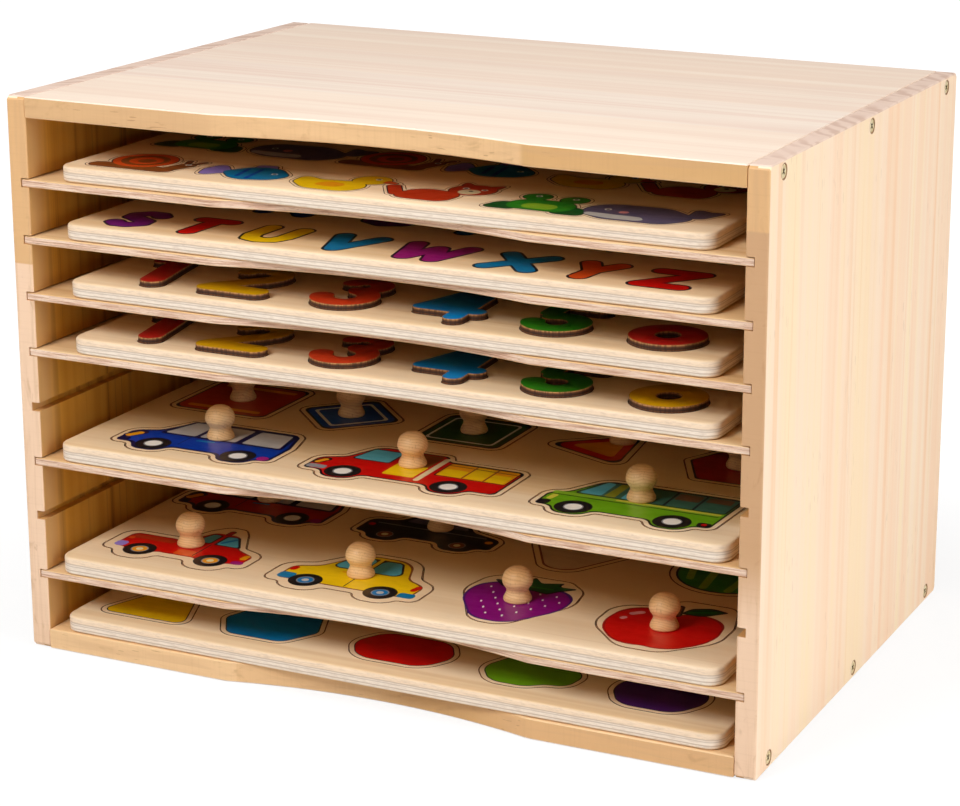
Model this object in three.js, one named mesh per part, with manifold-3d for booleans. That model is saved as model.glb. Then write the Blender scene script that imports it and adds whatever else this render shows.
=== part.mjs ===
// A pine storage rack for tray puzzles, with seven wooden puzzles in it.
// Millimetres. X runs along the rack's width, Y from the open front to the back, Z up.
// The origin is at the middle of the rack's footprint.

import * as THREE from 'three';
import { mergeVertices } from 'three/addons/utils/BufferGeometryUtils.js';
import Module from 'manifold-3d';

const wasm = await Module();
wasm.setup();

// Carcass
const width = 330;
const depth = 230;
const height = 238;
const panelThickness = 8.8;
const panelChamfer = 0.5;
const sideCornerRadius = 1.6;
const buttGap = 0.05;

// Finger cut-out in the front edge of the top, the bottom and every shelf
const notchHalfWidth = 69;
const notchDepth = 8.4;
const notchShoulderRadius = 14;

// Back panel, held in grooves of the four panels round it
const backThickness = 3;
const backInset = 4;
const backTongue = 3.4;
const backClearance = 0.25;

// Grooves in the sides, and the shelves in them
const grooveCount = 8;
const groovePitch = 23.8;
const lowestGrooveDrop = 2.2;
const grooveHeight = 3.8;
const grooveDepth = 3.6;
const shelfGrooves = [1, 2, 3, 4, 6, 8];
const shelfThickness = 3.2;
const shelfEndClearance = 0.4;
const shelfFrontInset = 0.4;
const shelfBackClearance = 0.6;
const shelfChamfer = 0.3;

// Gap under anything that rests on something flat
const seatGap = 0.1;

// Countersunk screws through the sides into the ends of the top and bottom
const screwLength = 28;
const screwShankRadius = 1.7;
const screwPointLength = 5;
const screwHeadRadius = 2.85;
const screwHeadHeight = 2.4;
const screwHeadRim = 0.3;
const screwHeadSink = 0.2;
const screwSocketRadius = 1.3;
const screwSocketDepth = 1.5;
const screwClearance = 0.3;
const screwSetback = 14.4;
const screwSides = 8;

// Puzzle boards, which leave room beside and behind them in the bays
const boardCornerRadius = 7;
const boardChamfer = 0.7;
const smallBoard = { width: 286, depth: 200, thickness: 6.6 };
const largeBoard = { width: 300, depth: 210, thickness: 6.7 };
const knobBoard = { width: 300, depth: 210, thickness: 7.4 };

// Loose puzzle pieces and their pockets
const pocketDepth = 3.2;
const pieceClearance = 0.4;
const pieceBorder = 2.4;
const sharpestRadius = 0.6;
const numeralProud = 2.4;
const numeralFromFront = 5.5;

// Turned knob, glued in its piece by a tenon
const knobHeight = 14.3;
const knobHeadRadius = 6.3;
const knobWaistRadius = 4.5;
const knobFootRadius = 5.8;
const knobTenonRadius = 2;
const knobTenonLength = 2.4;
const knobTenonClearance = 0.3;
const knobSides = 10;

// Furthest that the chords of a round outline stray from it
const chordError = 0.25;

// Colours, as they look in plain light
const pine = 0xf0d2a6;
const plywood = 0xe9d0ac;
const birch = 0xf2e2c4;
const beech = 0xe0b184;
const screwSteel = 0xa68a52;
const red = 0xc81e12;
const yellow = 0xe2b400;
const orange = 0xdf4a1c;
const blue = 0x1c6fae;
const green = 0x2f8a1e;
const darkRed = 0xa31414;
const purple = 0x6d1476;
const black = 0x1c1c20;

// Places worked out from the sizes above
const innerHalfWidth = width / 2 - panelThickness;
const innerHeight = height - 2 * panelThickness;
const front = -depth / 2;
const backFace = depth / 2 - backInset - backThickness;
const grooveDrop = (number) => (number === grooveCount ? lowestGrooveDrop : 0);
const evenLevel = (number) => height / 2 + ((grooveCount + 1) / 2 - number) * groovePitch;
const grooveLevel = (number) => evenLevel(number) - grooveDrop(number);
const shelfFloor = (number) => grooveLevel(number) - grooveHeight / 2 + seatGap;

const turn = 2 * Math.PI;

// The turn of one chord that strays from its arc by the chord error
const chordTurn = (radius) => 2 * Math.acos(1 - chordError / radius);

// Points along an arc, both ends included
function arc(centreX, centreY, radius, from, to, step = chordTurn(radius)) {
  const steps = Math.max(1, Math.round(Math.abs(to - from) / step));
  return Array.from({ length: steps + 1 }, (_, i) => {
    const angle = from + ((to - from) * i) / steps;
    return [centreX + radius * Math.cos(angle), centreY + radius * Math.sin(angle)];
  });
}

// The rounded outline of discs of one radius at the points of a convex polygon, drawn counter-clockwise
function pebble(points, radius) {
  if (points.length === 1) return arc(...points[0], radius, 0, turn).slice(1);
  return points.flatMap(([x, y], i) => {
    const [beforeX, beforeY] = points[(i + points.length - 1) % points.length];
    const [nextX, nextY] = points[(i + 1) % points.length];
    const from = Math.atan2(y - beforeY, x - beforeX) - Math.PI / 2;
    const to = Math.atan2(nextY - y, nextX - x) - Math.PI / 2;
    return arc(x, y, radius, from, to < from ? to + turn : to);
  });
}

// An outline with rounded corners [x, y, radius], drawn counter-clockwise and moved outwards by a border
function rounded(corners, grow = 0) {
  const headings = corners.map(([x, y], i) => {
    const [nextX, nextY] = corners[(i + 1) % corners.length];
    return Math.atan2(nextY - y, nextX - x);
  });
  return corners.flatMap(([x, y, cornerRadius], i) => {
    const before = headings[(i + corners.length - 1) % corners.length];
    const full = headings[i] - before;
    const bend = full - turn * Math.round(full / turn);
    const side = Math.sign(bend);
    const radius = Math.max(cornerRadius + side * grow, sharpestRadius);
    const back = (radius - side * grow) * Math.tan(bend / 2) * side;
    const centreX = x - back * Math.cos(before) - (side * radius - grow) * Math.sin(before);
    const centreY = y - back * Math.sin(before) + (side * radius - grow) * Math.cos(before);
    const start = before - (side * Math.PI) / 2;
    return arc(centreX, centreY, radius, start, start + bend);
  });
}

// A bar bent along an arc, with round ends
function band(centreX, centreY, radius, from, to, halfWidth) {
  const end = (angle) => [centreX + radius * Math.cos(angle), centreY + radius * Math.sin(angle)];
  return [
    ...arc(centreX, centreY, radius + halfWidth, from, to),
    ...arc(...end(to), halfWidth, to, to + Math.PI).slice(1),
    ...arc(centreX, centreY, radius - halfWidth, to, from).slice(1),
    ...arc(...end(from), halfWidth, from + Math.PI, from + turn).slice(1, -1),
  ];
}

// A rectangle with its front edge cut back by a shallow arc with eased shoulders
function notchedOutline(halfWidth, frontY, backY) {
  const radius = (notchHalfWidth ** 2 + notchDepth ** 2) / (2 * notchDepth);
  const shoulder = notchShoulderRadius;
  const rise = radius + shoulder - notchDepth;
  const shoulderX = Math.sqrt((radius + shoulder) ** 2 - rise ** 2);
  const lean = Math.atan2(shoulderX, rise);
  const shoulderY = frontY + shoulder;
  const arcY = frontY + notchDepth - radius;
  return [
    [-halfWidth, frontY],
    ...arc(-shoulderX, shoulderY, shoulder, -Math.PI / 2, -Math.PI / 2 + lean, lean / 3),
    ...arc(0, arcY, radius, Math.PI / 2 + lean, Math.PI / 2 - lean, lean / 12).slice(1, -1),
    ...arc(shoulderX, shoulderY, shoulder, -Math.PI / 2 - lean, -Math.PI / 2, lean / 3),
    [halfWidth, frontY],
    [halfWidth, backY],
    [-halfWidth, backY],
  ];
}

// Solids, cut and joined
function toSolid(geometry) {
  geometry.deleteAttribute('normal');
  geometry.deleteAttribute('uv');
  const merged = mergeVertices(geometry);
  const vertProperties = Float32Array.from(merged.attributes.position.array);
  const triVerts = Uint32Array.from(merged.index.array);
  return new wasm.Manifold(new wasm.Mesh({ numProp: 3, vertProperties, triVerts }));
}

function toGeometry(solid) {
  const { vertProperties, triVerts } = solid.getMesh();
  const geometry = new THREE.BufferGeometry();
  geometry.setAttribute('position', new THREE.BufferAttribute(vertProperties, 3));
  geometry.setIndex(new THREE.BufferAttribute(triVerts, 1));
  geometry.computeVertexNormals();
  return geometry;
}

// An outline raised to a plate from z = 0, its edges eased by a chamfer if it has one
function plate(outline, thickness, chamfer = 0) {
  const shape = new THREE.Shape(outline.map(([x, y]) => new THREE.Vector2(x, y)));
  const geometry = new THREE.ExtrudeGeometry(shape, {
    depth: thickness - 2 * chamfer,
    bevelEnabled: chamfer > 0,
    bevelThickness: chamfer,
    bevelSize: chamfer,
    bevelOffset: -chamfer,
    bevelSegments: 1,
  });
  return geometry.translate(0, 0, chamfer);
}

function box(lowX, lowY, lowZ, highX, highY, highZ) {
  const geometry = new THREE.BoxGeometry(highX - lowX, highY - lowY, highZ - lowZ);
  return geometry.translate((lowX + highX) / 2, (lowY + highY) / 2, (lowZ + highZ) / 2);
}

const joined = (geometries) => geometries.map(toSolid).reduce((whole, part) => whole.add(part));
const cut = (geometry, tools) =>
  tools.map(toSolid).reduce((rest, tool) => rest.subtract(tool), toSolid(geometry));

function finish(name, geometry, color, roughness = 0.6, metalness = 0) {
  const mesh = new THREE.Mesh(geometry, new THREE.MeshStandardMaterial({ color, roughness, metalness }));
  mesh.name = name;
  return mesh;
}

// Screws. The axis is local Y, with the head's face at y = 0 and the point below it
function screwProfile() {
  return [
    [0, -screwLength],
    [screwShankRadius, -screwLength + screwPointLength],
    [screwShankRadius, -screwHeadHeight],
    [screwHeadRadius, -screwHeadRim],
    [screwHeadRadius, 0],
    [screwSocketRadius, 0],
    [0, -screwSocketDepth],
  ];
}

function screwHoleProfile() {
  const shank = screwShankRadius + screwClearance;
  const head = screwHeadRadius + screwClearance;
  return [
    [0, -screwLength - screwClearance],
    [shank, -screwLength - screwClearance],
    [shank, -screwHeadHeight - screwClearance],
    [head, -screwHeadRim],
    [head, panelThickness],
    [0, panelThickness],
  ];
}

function turned(profile, sides) {
  return new THREE.LatheGeometry(profile.map(([radius, y]) => new THREE.Vector2(radius, y)), sides);
}

const screwRows = [
  ['front', front + screwSetback],
  ['middle', 0],
  ['rear', -front - screwSetback],
];
const screwHeights = [
  ['bottom', panelThickness / 2],
  ['top', height - panelThickness / 2],
];
const screwHeadFace = width / 2 - screwHeadSink;

// The screw holes of one side, as cutters in the rack's own frame
function screwHoles(side) {
  return screwHeights.flatMap(([, z]) =>
    screwRows.map(([, y]) =>
      turned(screwHoleProfile(), screwSides)
        .rotateZ((-side * Math.PI) / 2)
        .translate(side * screwHeadFace, y, z),
    ),
  );
}

function makeScrews(side, sideName) {
  return screwHeights.flatMap(([level, z]) =>
    screwRows.map(([row, y]) => {
      const geometry = turned(screwProfile(), screwSides);
      const screw = finish(`screw_${sideName}_${level}_${row}`, geometry, screwSteel, 0.35, 0.9);
      screw.rotation.z = (-side * Math.PI) / 2;
      screw.position.set(side * screwHeadFace, y, z);
      return screw;
    }),
  );
}

// Carcass panels
function backGroove(lowX, lowZ, highX, highZ) {
  return box(lowX, backFace - backClearance, lowZ, highX, depth / 2 - backInset + backClearance, highZ);
}

// The outline lies in Y and Z, and the extrusion runs along X
const standing = new THREE.Matrix4().set(0, 0, 1, 0, 1, 0, 0, 0, 0, 1, 0, 0, 0, 0, 0, 1);

function makeSide(side, name) {
  const r = sideCornerRadius;
  const corners = [
    [front, 0, r],
    [-front, 0, r],
    [-front, height, r],
    [front, height, r],
  ];
  const blank = plate(rounded(corners), panelThickness, panelChamfer).applyMatrix4(standing);
  blank.translate(side > 0 ? innerHalfWidth : -width / 2, 0, 0);
  const ends = (cutDepth) => [side * (innerHalfWidth - 1), side * (innerHalfWidth + cutDepth)];
  const reach = (cutDepth) => ends(cutDepth).sort((a, b) => a - b);
  const [grooveLow, grooveHigh] = reach(grooveDepth);
  const grooves = Array.from({ length: grooveCount }, (_, i) => {
    const z = grooveLevel(i + 1);
    return box(grooveLow, front - 1, z - grooveHeight / 2, grooveHigh, backFace, z + grooveHeight / 2);
  });
  const tongue = backTongue + backClearance;
  const [backLow, backHigh] = reach(tongue);
  const backSlot = backGroove(backLow, panelThickness - tongue, backHigh, height - panelThickness + tongue);
  return finish(name, toGeometry(cut(blank, [...grooves, backSlot, ...screwHoles(side)])), pine);
}

// The top and the bottom are alike, with the groove for the back on the face towards the bays
function makeShelfPanel(name, level, grooveFace) {
  const halfWidth = innerHalfWidth - buttGap;
  const blank = plate(notchedOutline(halfWidth, front, -front), panelThickness, panelChamfer);
  blank.translate(0, 0, level);
  const tongue = backTongue + backClearance;
  const [low, high] = [grooveFace - tongue, grooveFace + tongue];
  const slot = backGroove(-width, low, width, high);
  return finish(name, toGeometry(cut(blank, [slot, ...screwHoles(1), ...screwHoles(-1)])), pine);
}

function makeBack() {
  const geometry = new THREE.BoxGeometry(
    2 * (innerHalfWidth + backTongue),
    backThickness,
    innerHeight + 2 * backTongue,
  );
  const back = finish('back_panel', geometry, plywood, 0.7);
  back.position.set(0, backFace + backThickness / 2, height / 2);
  return back;
}

// Shelves
function makeShelf(number) {
  const halfWidth = innerHalfWidth + grooveDepth - shelfEndClearance;
  const outline = notchedOutline(halfWidth, front + shelfFrontInset, backFace - shelfBackClearance);
  const shelf = finish(`shelf_${number}`, plate(outline, shelfThickness, shelfChamfer), plywood, 0.7);
  shelf.position.z = shelfFloor(shelfGrooves[number - 1]);
  return shelf;
}

// Figures. Each gives the outlines that make up a piece, grown outwards by a border,
// with x measured from the middle of the figure and y from its lowest point
const numerals = {
  1: (grow) => [pebble([[3.6, 5.4], [-2.8, 38.6]], 5.4 + grow), pebble([[-10, 34.8], [-3, 39]], 4.4 + grow)],
  2: (grow) => [
    band(-0.5, 30, 8.6, -0.7, 2.75, 4.7 + grow),
    pebble([[-9.5, 7.5], [5.4, 23]], 4.8 + grow),
    pebble([[-10.3, 5.2], [11.4, 5.2]], 5.2 + grow),
  ],
  3: (grow) => [
    band(-0.5, 31.8, 7.2, -1.35, 2.7, 4.8 + grow),
    band(0, 14.2, 9.4, -2.95, 1.35, 4.8 + grow),
  ],
  4: (grow) => [
    pebble([[-11.4, 14.6], [11.6, 14.6]], 4.5 + grow),
    pebble([[6.8, 4.3], [4.6, 38]], 4.3 + grow),
    pebble([[-11, 15.4], [-3.5, 38.4]], 4.6 + grow),
    pebble([[-3.5, 20], [2, 20], [3, 38], [-2.6, 38]], 4.6 + grow),
  ],
  5: (grow) => [
    pebble([[-7.2, 39], [8.6, 39]], 4.6 + grow),
    pebble([[-7.6, 26], [-7.4, 38]], 4.2 + grow),
    band(0.3, 14, 9.2, -2.95, 2.1, 4.8 + grow),
  ],
  0: (grow) => [pebble([[0, 15.4]], 15.4 + grow)],
};
const zeroHole = pebble([[0, 15.4]], 4.9);

// The underside of a vehicle from its rear to its front, bulging round each wheel with flanks at 60 degrees
const wheelFlat = 5.5;
const wheelRadius = 6;
const wheelArchRadius = 5;
const bumperRadius = 2.5;

function underside(left, right, base, wheels) {
  const run = base / Math.sqrt(3);
  const bulge = (x) => [
    [x - wheelFlat - run, base, wheelArchRadius],
    [x - wheelFlat, 0, wheelRadius],
    [x + wheelFlat, 0, wheelRadius],
    [x + wheelFlat + run, base, wheelArchRadius],
  ];
  return [[left, base, bumperRadius], ...wheels.flatMap(bulge), [right, base, bumperRadius]];
}

// The printed shapes, as rounded corners. A corner that turns inwards is rounded too
const figures = {
  blue_bus: [
    ...underside(-37, 37, 7, [-19, 22]),
    [37, 26, 6],
    [32, 44, 6],
    [-17, 44, 6],
    [-26, 27, 7],
    [-37, 22, 5],
  ],
  red_truck: [
    ...underside(-43, 44, 7, [-25, 23]),
    [44, 38, 4],
    [9, 38, 3],
    [6, 44, 3],
    [-26, 44, 6],
    [-33, 27, 6],
    [-43, 22, 5],
  ],
  green_van: [
    ...underside(-37, 37, 7, [-20.6, 21]),
    [38.5, 44, 5],
    [-21, 44, 7],
    [-30, 26, 7],
    [-37, 22, 5],
  ],
  red_pickup: [
    ...underside(-33, 33, 7, [-17.5, 17.5]),
    [33, 22, 5],
    [22, 26, 6],
    [14, 41.5, 5],
    [10.5, 46.5, 2.5],
    [4.5, 46.5, 2.5],
    [0, 41, 4],
    [-5, 27, 5],
    [-33, 27, 5],
  ],
  yellow_car: [
    ...underside(-33.5, 33.5, 6, [-17.5, 17.5]),
    [33.5, 22, 6],
    [24, 28, 8],
    [15.5, 47, 12],
    [-9, 47, 12],
    [-22, 28, 8],
    [-33.5, 23, 6],
  ],
  purple_berry: [
    [-6, 0, 8],
    [6, 0, 8],
    [22.5, 29, 12],
    [20, 44, 7],
    [12, 51, 3],
    [-12, 51, 3],
    [-20, 44, 7],
    [-22.5, 29, 12],
  ],
  red_apple: [
    [-8, 0, 9],
    [8, 0, 9],
    [24.5, 17, 13],
    [24.5, 33, 9],
    [19, 52, 4],
    [-2, 52, 4],
    [-6, 43, 6],
    [-24.5, 37, 9],
    [-24.5, 17, 13],
  ],
  red_sign: [
    [-22.5, 0, 4],
    [22.5, 0, 4],
    [22.5, 44, 4],
    [-22.5, 44, 4],
  ],
  blue_sign: [
    [0, 0, 4],
    [24, 24, 4],
    [0, 48, 4],
    [-24, 24, 4],
  ],
  green_sign: [
    [-19.5, 0, 4],
    [19.5, 0, 4],
    [19.5, 38, 4],
    [-19.5, 38, 4],
  ],
  black_car: [
    ...underside(-32.5, 32.5, 7, [-17.5, 17.5]),
    [32.5, 20, 5],
    [17, 25, 6],
    [9, 36, 6],
    [-14, 36, 6],
    [-20, 26, 6],
    [-32.5, 24, 5],
  ],
};

// Puzzles. Every piece has its place from its board's front edge. Numerals stand in a row,
// whose ends leave so many of the gaps between them
const digits = ['1', '2', '3', '4', '5', '0'];

const numeralPieces = (set) =>
  digits.map((digit) => ({
    name: `number_${set}_${digit}`,
    outlines: numerals[digit],
    hole: digit === '0' ? zeroHole : null,
    border: 0,
    proud: numeralProud,
    color: { 1: red, 2: yellow, 3: orange, 4: blue, 5: green, 0: set === 'a' ? darkRed : yellow }[digit],
  }));

const knobPiece = (name, [x, fromFront], knobAt, color, oneSolid = false) => ({
  name,
  x,
  fromFront,
  outlines: (grow) => [rounded(figures[name], grow)],
  border: pieceBorder,
  proud: 0,
  knobAt,
  oneSolid,
  color,
});

const vehicles = [
  knobPiece('blue_bus', [-93.8, 9.1], [2.3, 27.4], blue),
  knobPiece('red_truck', [1.9, 10.1], [-3, 28], red),
  knobPiece('green_van', [100.6, 9.2], [-0.2, 28.6], green),
  knobPiece('red_sign', [-113.3, 68.2], [0, 22], darkRed, true),
  knobPiece('blue_sign', [-58.3, 65.4], [0, 24], blue, true),
  knobPiece('green_sign', [0.6, 71.4], [0, 19], green, true),
];

const fruits = [
  knobPiece('red_pickup', [-107, 13.4], [-0.6, 22.8], red),
  knobPiece('yellow_car', [-24.2, 10.4], [0.5, 23.6], yellow),
  knobPiece('purple_berry', [46.5, 9.9], [1.1, 25.8], purple),
  knobPiece('red_apple', [112.2, 9.4], [0.9, 23.6], darkRed),
  knobPiece('black_car', [-21.9, 76.4], [1, 24], black, true),
];

// Each board lies a little way in from the rack's front, and a little to one side
const puzzles = [
  { name: 'animal_board', shelf: 1, size: smallBoard, x: -0.6, inset: 2.2 },
  { name: 'letter_board', shelf: 2, size: smallBoard, x: 1, inset: 1.2 },
  { name: 'number_board_a', shelf: 3, size: smallBoard, x: 2.4, inset: 0.8, set: 'a', ends: [1.03, 0.75] },
  { name: 'number_board_b', shelf: 4, size: smallBoard, x: 3.2, inset: 0.5, set: 'b', ends: [0.86, 0.72] },
  { name: 'vehicle_board', shelf: 5, size: knobBoard, x: 1.1, inset: 0.6, pieces: vehicles },
  { name: 'fruit_board', shelf: 6, size: knobBoard, x: -0.5, inset: 0.4, pieces: fruits },
  { name: 'shape_board', shelf: 0, size: largeBoard, x: 0.4, inset: 0.8 },
];

// The numerals of a board with their places: the middle of the drawing in x, and its lowest point in y
function numeralRow({ size, x, set, ends }) {
  const pieces = numeralPieces(set);
  const spans = pieces.map(({ outlines }) => {
    const across = outlines(0).flatMap((outline) => outline.map(([pointX]) => pointX));
    return { low: Math.min(...across), high: Math.max(...across) };
  });
  const filled = spans.reduce((sum, { low, high }) => sum + high - low, 0);
  const gap = (size.width - filled) / (pieces.length - 1 + ends[0] + ends[1]);
  let edge = x - size.width / 2 + ends[0] * gap;
  return pieces.map((piece, i) => {
    const middle = edge - spans[i].low;
    edge += spans[i].high - spans[i].low + gap;
    return { ...piece, x: middle, fromFront: numeralFromFront };
  });
}

// All on a board is made in its own frame: x as in the rack, y from its front edge, z from its underside
function boardOutline({ size, x }) {
  const [left, right] = [x - size.width / 2, x + size.width / 2];
  const corners = [[left, 0], [right, 0], [right, size.depth], [left, size.depth]];
  return rounded(corners.map((corner) => [...corner, boardCornerRadius]));
}

const placed = (outline, piece) => outline.map(([x, y]) => [x + piece.x, y + piece.fromFront]);

function pocketCutters(piece, boardThickness) {
  const outlines = piece.outlines(piece.border + pieceClearance);
  const floor = boardThickness - pocketDepth;
  return outlines.map((outline) => plate(placed(outline, piece), 2 * pocketDepth).translate(0, 0, floor));
}

function makeBoard(puzzle, pieces) {
  const { size } = puzzle;
  const blank = plate(boardOutline(puzzle), size.thickness, boardChamfer);
  const pockets = pieces.flatMap((piece) => pocketCutters(piece, size.thickness));
  return finish(puzzle.name, toGeometry(cut(blank, pockets)), birch, 0.55);
}

// Knobs. The axis is local Y, with the underside of the foot at y = 0
const knobCurve = new THREE.SplineCurve(
  [
    [knobFootRadius, 0.22 * knobFootRadius],
    [knobWaistRadius, 0.31 * knobHeight],
    [knobHeadRadius, 0.62 * knobHeight],
    [0.72 * knobHeadRadius, 0.9 * knobHeight],
    [0, knobHeight],
  ].map(([radius, y]) => new THREE.Vector2(radius, y)),
);
const knobOutline = knobCurve
  .getPoints(7)
  .slice(0, -1)
  .map(({ x, y }) => [x, Math.min(y, knobHeight)]);

const knobOn = (foot) => [
  ...foot,
  [knobFootRadius, 0],
  ...knobOutline,
  [0, knobHeight],
];
const knobWithTenon = knobOn([
  [0, -knobTenonLength],
  [knobTenonRadius, -knobTenonLength],
  [knobTenonRadius, 0],
]);

function upright(profile, sides, piece, level) {
  const [x, y] = piece.knobAt;
  return turned(profile, sides)
    .rotateX(Math.PI / 2)
    .translate(piece.x + x, piece.fromFront + y, level);
}

function tenonHole(piece, top) {
  const radius = knobTenonRadius + knobTenonClearance;
  const low = -knobTenonLength - knobTenonClearance;
  const profile = [[0, low], [radius, low], [radius, 1], [0, 1]];
  return upright(profile, screwSides, piece, top);
}

// A piece with its knob: one solid where the knob is glued on flat, and otherwise two
function makePiece(piece, boardThickness) {
  const floor = boardThickness - pocketDepth + seatGap;
  const top = boardThickness + piece.proud;
  const outlines = piece.outlines(piece.border);
  const layers = outlines.map((outline) => plate(placed(outline, piece), top - floor).translate(0, 0, floor));
  let solid = joined(layers);
  if (piece.hole) {
    const hole = plate(placed(piece.hole, piece), 2 * top).translate(0, 0, -top / 2);
    solid = solid.subtract(toSolid(hole));
  }
  if (!piece.knobAt) return [finish(piece.name, toGeometry(solid), piece.color, 0.35)];
  if (piece.oneSolid) {
    solid = solid.add(toSolid(upright(knobWithTenon, knobSides, piece, top)));
    return [finish(piece.name, toGeometry(solid), piece.color, 0.35)];
  }
  solid = solid.subtract(toSolid(tenonHole(piece, top + seatGap)));
  const knob = upright(knobWithTenon, knobSides, piece, top + seatGap);
  return [
    finish(piece.name, toGeometry(solid), piece.color, 0.35),
    finish(`${piece.name}_knob`, knob, beech, 0.5),
  ];
}

function makePuzzle(puzzle) {
  const puzzleGroup = new THREE.Group();
  const { shelf, inset } = puzzle;
  const level = shelf > 0 ? shelfFloor(shelfGrooves[shelf - 1]) + shelfThickness : panelThickness;
  puzzleGroup.position.set(0, front + inset, level + seatGap);
  const pieces = puzzle.set ? numeralRow(puzzle) : (puzzle.pieces ?? []);
  puzzleGroup.add(makeBoard(puzzle, pieces));
  pieces.forEach((piece) => puzzleGroup.add(...makePiece(piece, puzzle.size.thickness)));
  return puzzleGroup;
}

const rack = new THREE.Group();
rack.add(
  makeSide(-1, 'left_side'),
  makeSide(1, 'right_side'),
  makeShelfPanel('top_panel', height - panelThickness, height - panelThickness),
  makeShelfPanel('bottom_panel', 0, panelThickness),
  makeBack(),
  ...makeScrews(-1, 'left'),
  ...makeScrews(1, 'right'),
);
shelfGrooves.forEach((_, i) => rack.add(makeShelf(i + 1)));
puzzles.forEach((puzzle) => rack.add(makePuzzle(puzzle)));

export default rack;
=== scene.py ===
import math

import bmesh
import bpy
from mathutils import Matrix, Vector


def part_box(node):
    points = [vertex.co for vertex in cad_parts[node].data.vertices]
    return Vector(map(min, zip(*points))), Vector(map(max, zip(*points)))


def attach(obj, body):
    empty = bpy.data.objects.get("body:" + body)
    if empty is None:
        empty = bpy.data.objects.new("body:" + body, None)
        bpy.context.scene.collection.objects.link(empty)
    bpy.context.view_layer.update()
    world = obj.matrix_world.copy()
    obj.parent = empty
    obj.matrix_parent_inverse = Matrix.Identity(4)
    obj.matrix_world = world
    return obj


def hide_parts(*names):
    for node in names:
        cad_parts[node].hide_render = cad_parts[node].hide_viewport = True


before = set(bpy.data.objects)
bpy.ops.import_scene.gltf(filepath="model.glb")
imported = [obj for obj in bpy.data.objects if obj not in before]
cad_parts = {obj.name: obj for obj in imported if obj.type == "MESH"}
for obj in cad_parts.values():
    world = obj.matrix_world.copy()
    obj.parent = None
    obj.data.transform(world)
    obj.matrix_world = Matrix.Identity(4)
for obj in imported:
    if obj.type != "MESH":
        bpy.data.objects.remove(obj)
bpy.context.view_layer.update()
mm = 0.001

# the rack's own sizes, in millimetres
rack = {
    'width': 330,
    'depth': 230,
    'height': 238,
    'panel': 8.8,
    'groove': 3.6,
    'setback': 14.4,   # of the outer screws, from the front and the rear
}

# camera, as in the photograph
view = {
    'place': (487.02, -990.31, 424.78),
    'turn': 23.904,   # degrees to the left of straight back
    'tilt': -15.113,
    'roll': 0.49,
    'lens': 99.69,
    'shift': (-0.125, -0.0656),
}


def linked(name, data):   # a new object in the scene
    made = bpy.data.objects.new(name, data)
    bpy.context.scene.collection.objects.link(made)
    return made


def makeCamera():
    camera = linked('camera', bpy.data.cameras.new('camera'))
    camera.data.lens = view['lens']
    camera.data.shift_x, camera.data.shift_y = view['shift']
    camera.data.clip_start = 0.05
    turn = Matrix.Rotation(math.radians(view['turn']), 4, 'Z')
    tilt = Matrix.Rotation(math.radians(90 + view['tilt']), 4, 'X')
    roll = Matrix.Rotation(math.radians(view['roll']), 4, 'Z')
    camera.matrix_world = Matrix.Translation(Vector(view['place']) * mm) @ turn @ tilt @ roll
    bpy.context.scene.camera = camera


makeCamera()
print('camera in place')


# shader maths: a Wire is a node's output that adds Math nodes as it is reckoned with

class Wire:
    def __init__(self, shader, socket):
        self.shader = shader
        self.socket = socket

    def maths(self, operation, first, second=0.0):
        return self.shader.node('Math', {'operation': operation}, {0: first, 1: second})

    def __add__(self, other):
        return self.maths('ADD', self, other)

    def __sub__(self, other):
        return self.maths('SUBTRACT', self, other)

    def __rsub__(self, other):
        return self.maths('SUBTRACT', other, self)

    def __mul__(self, other):
        return self.maths('MULTIPLY', self, other)

    def __abs__(self):
        return self.maths('ABSOLUTE', self)

    __radd__ = __add__
    __rmul__ = __mul__

    def step(self, low, high):   # 0 below low, 1 above high
        ends = {'From Min': low, 'From Max': high}
        return self.shader.node('MapRange', {'interpolation_type': 'SMOOTHSTEP'},
                                {'Value': self, **ends})


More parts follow.
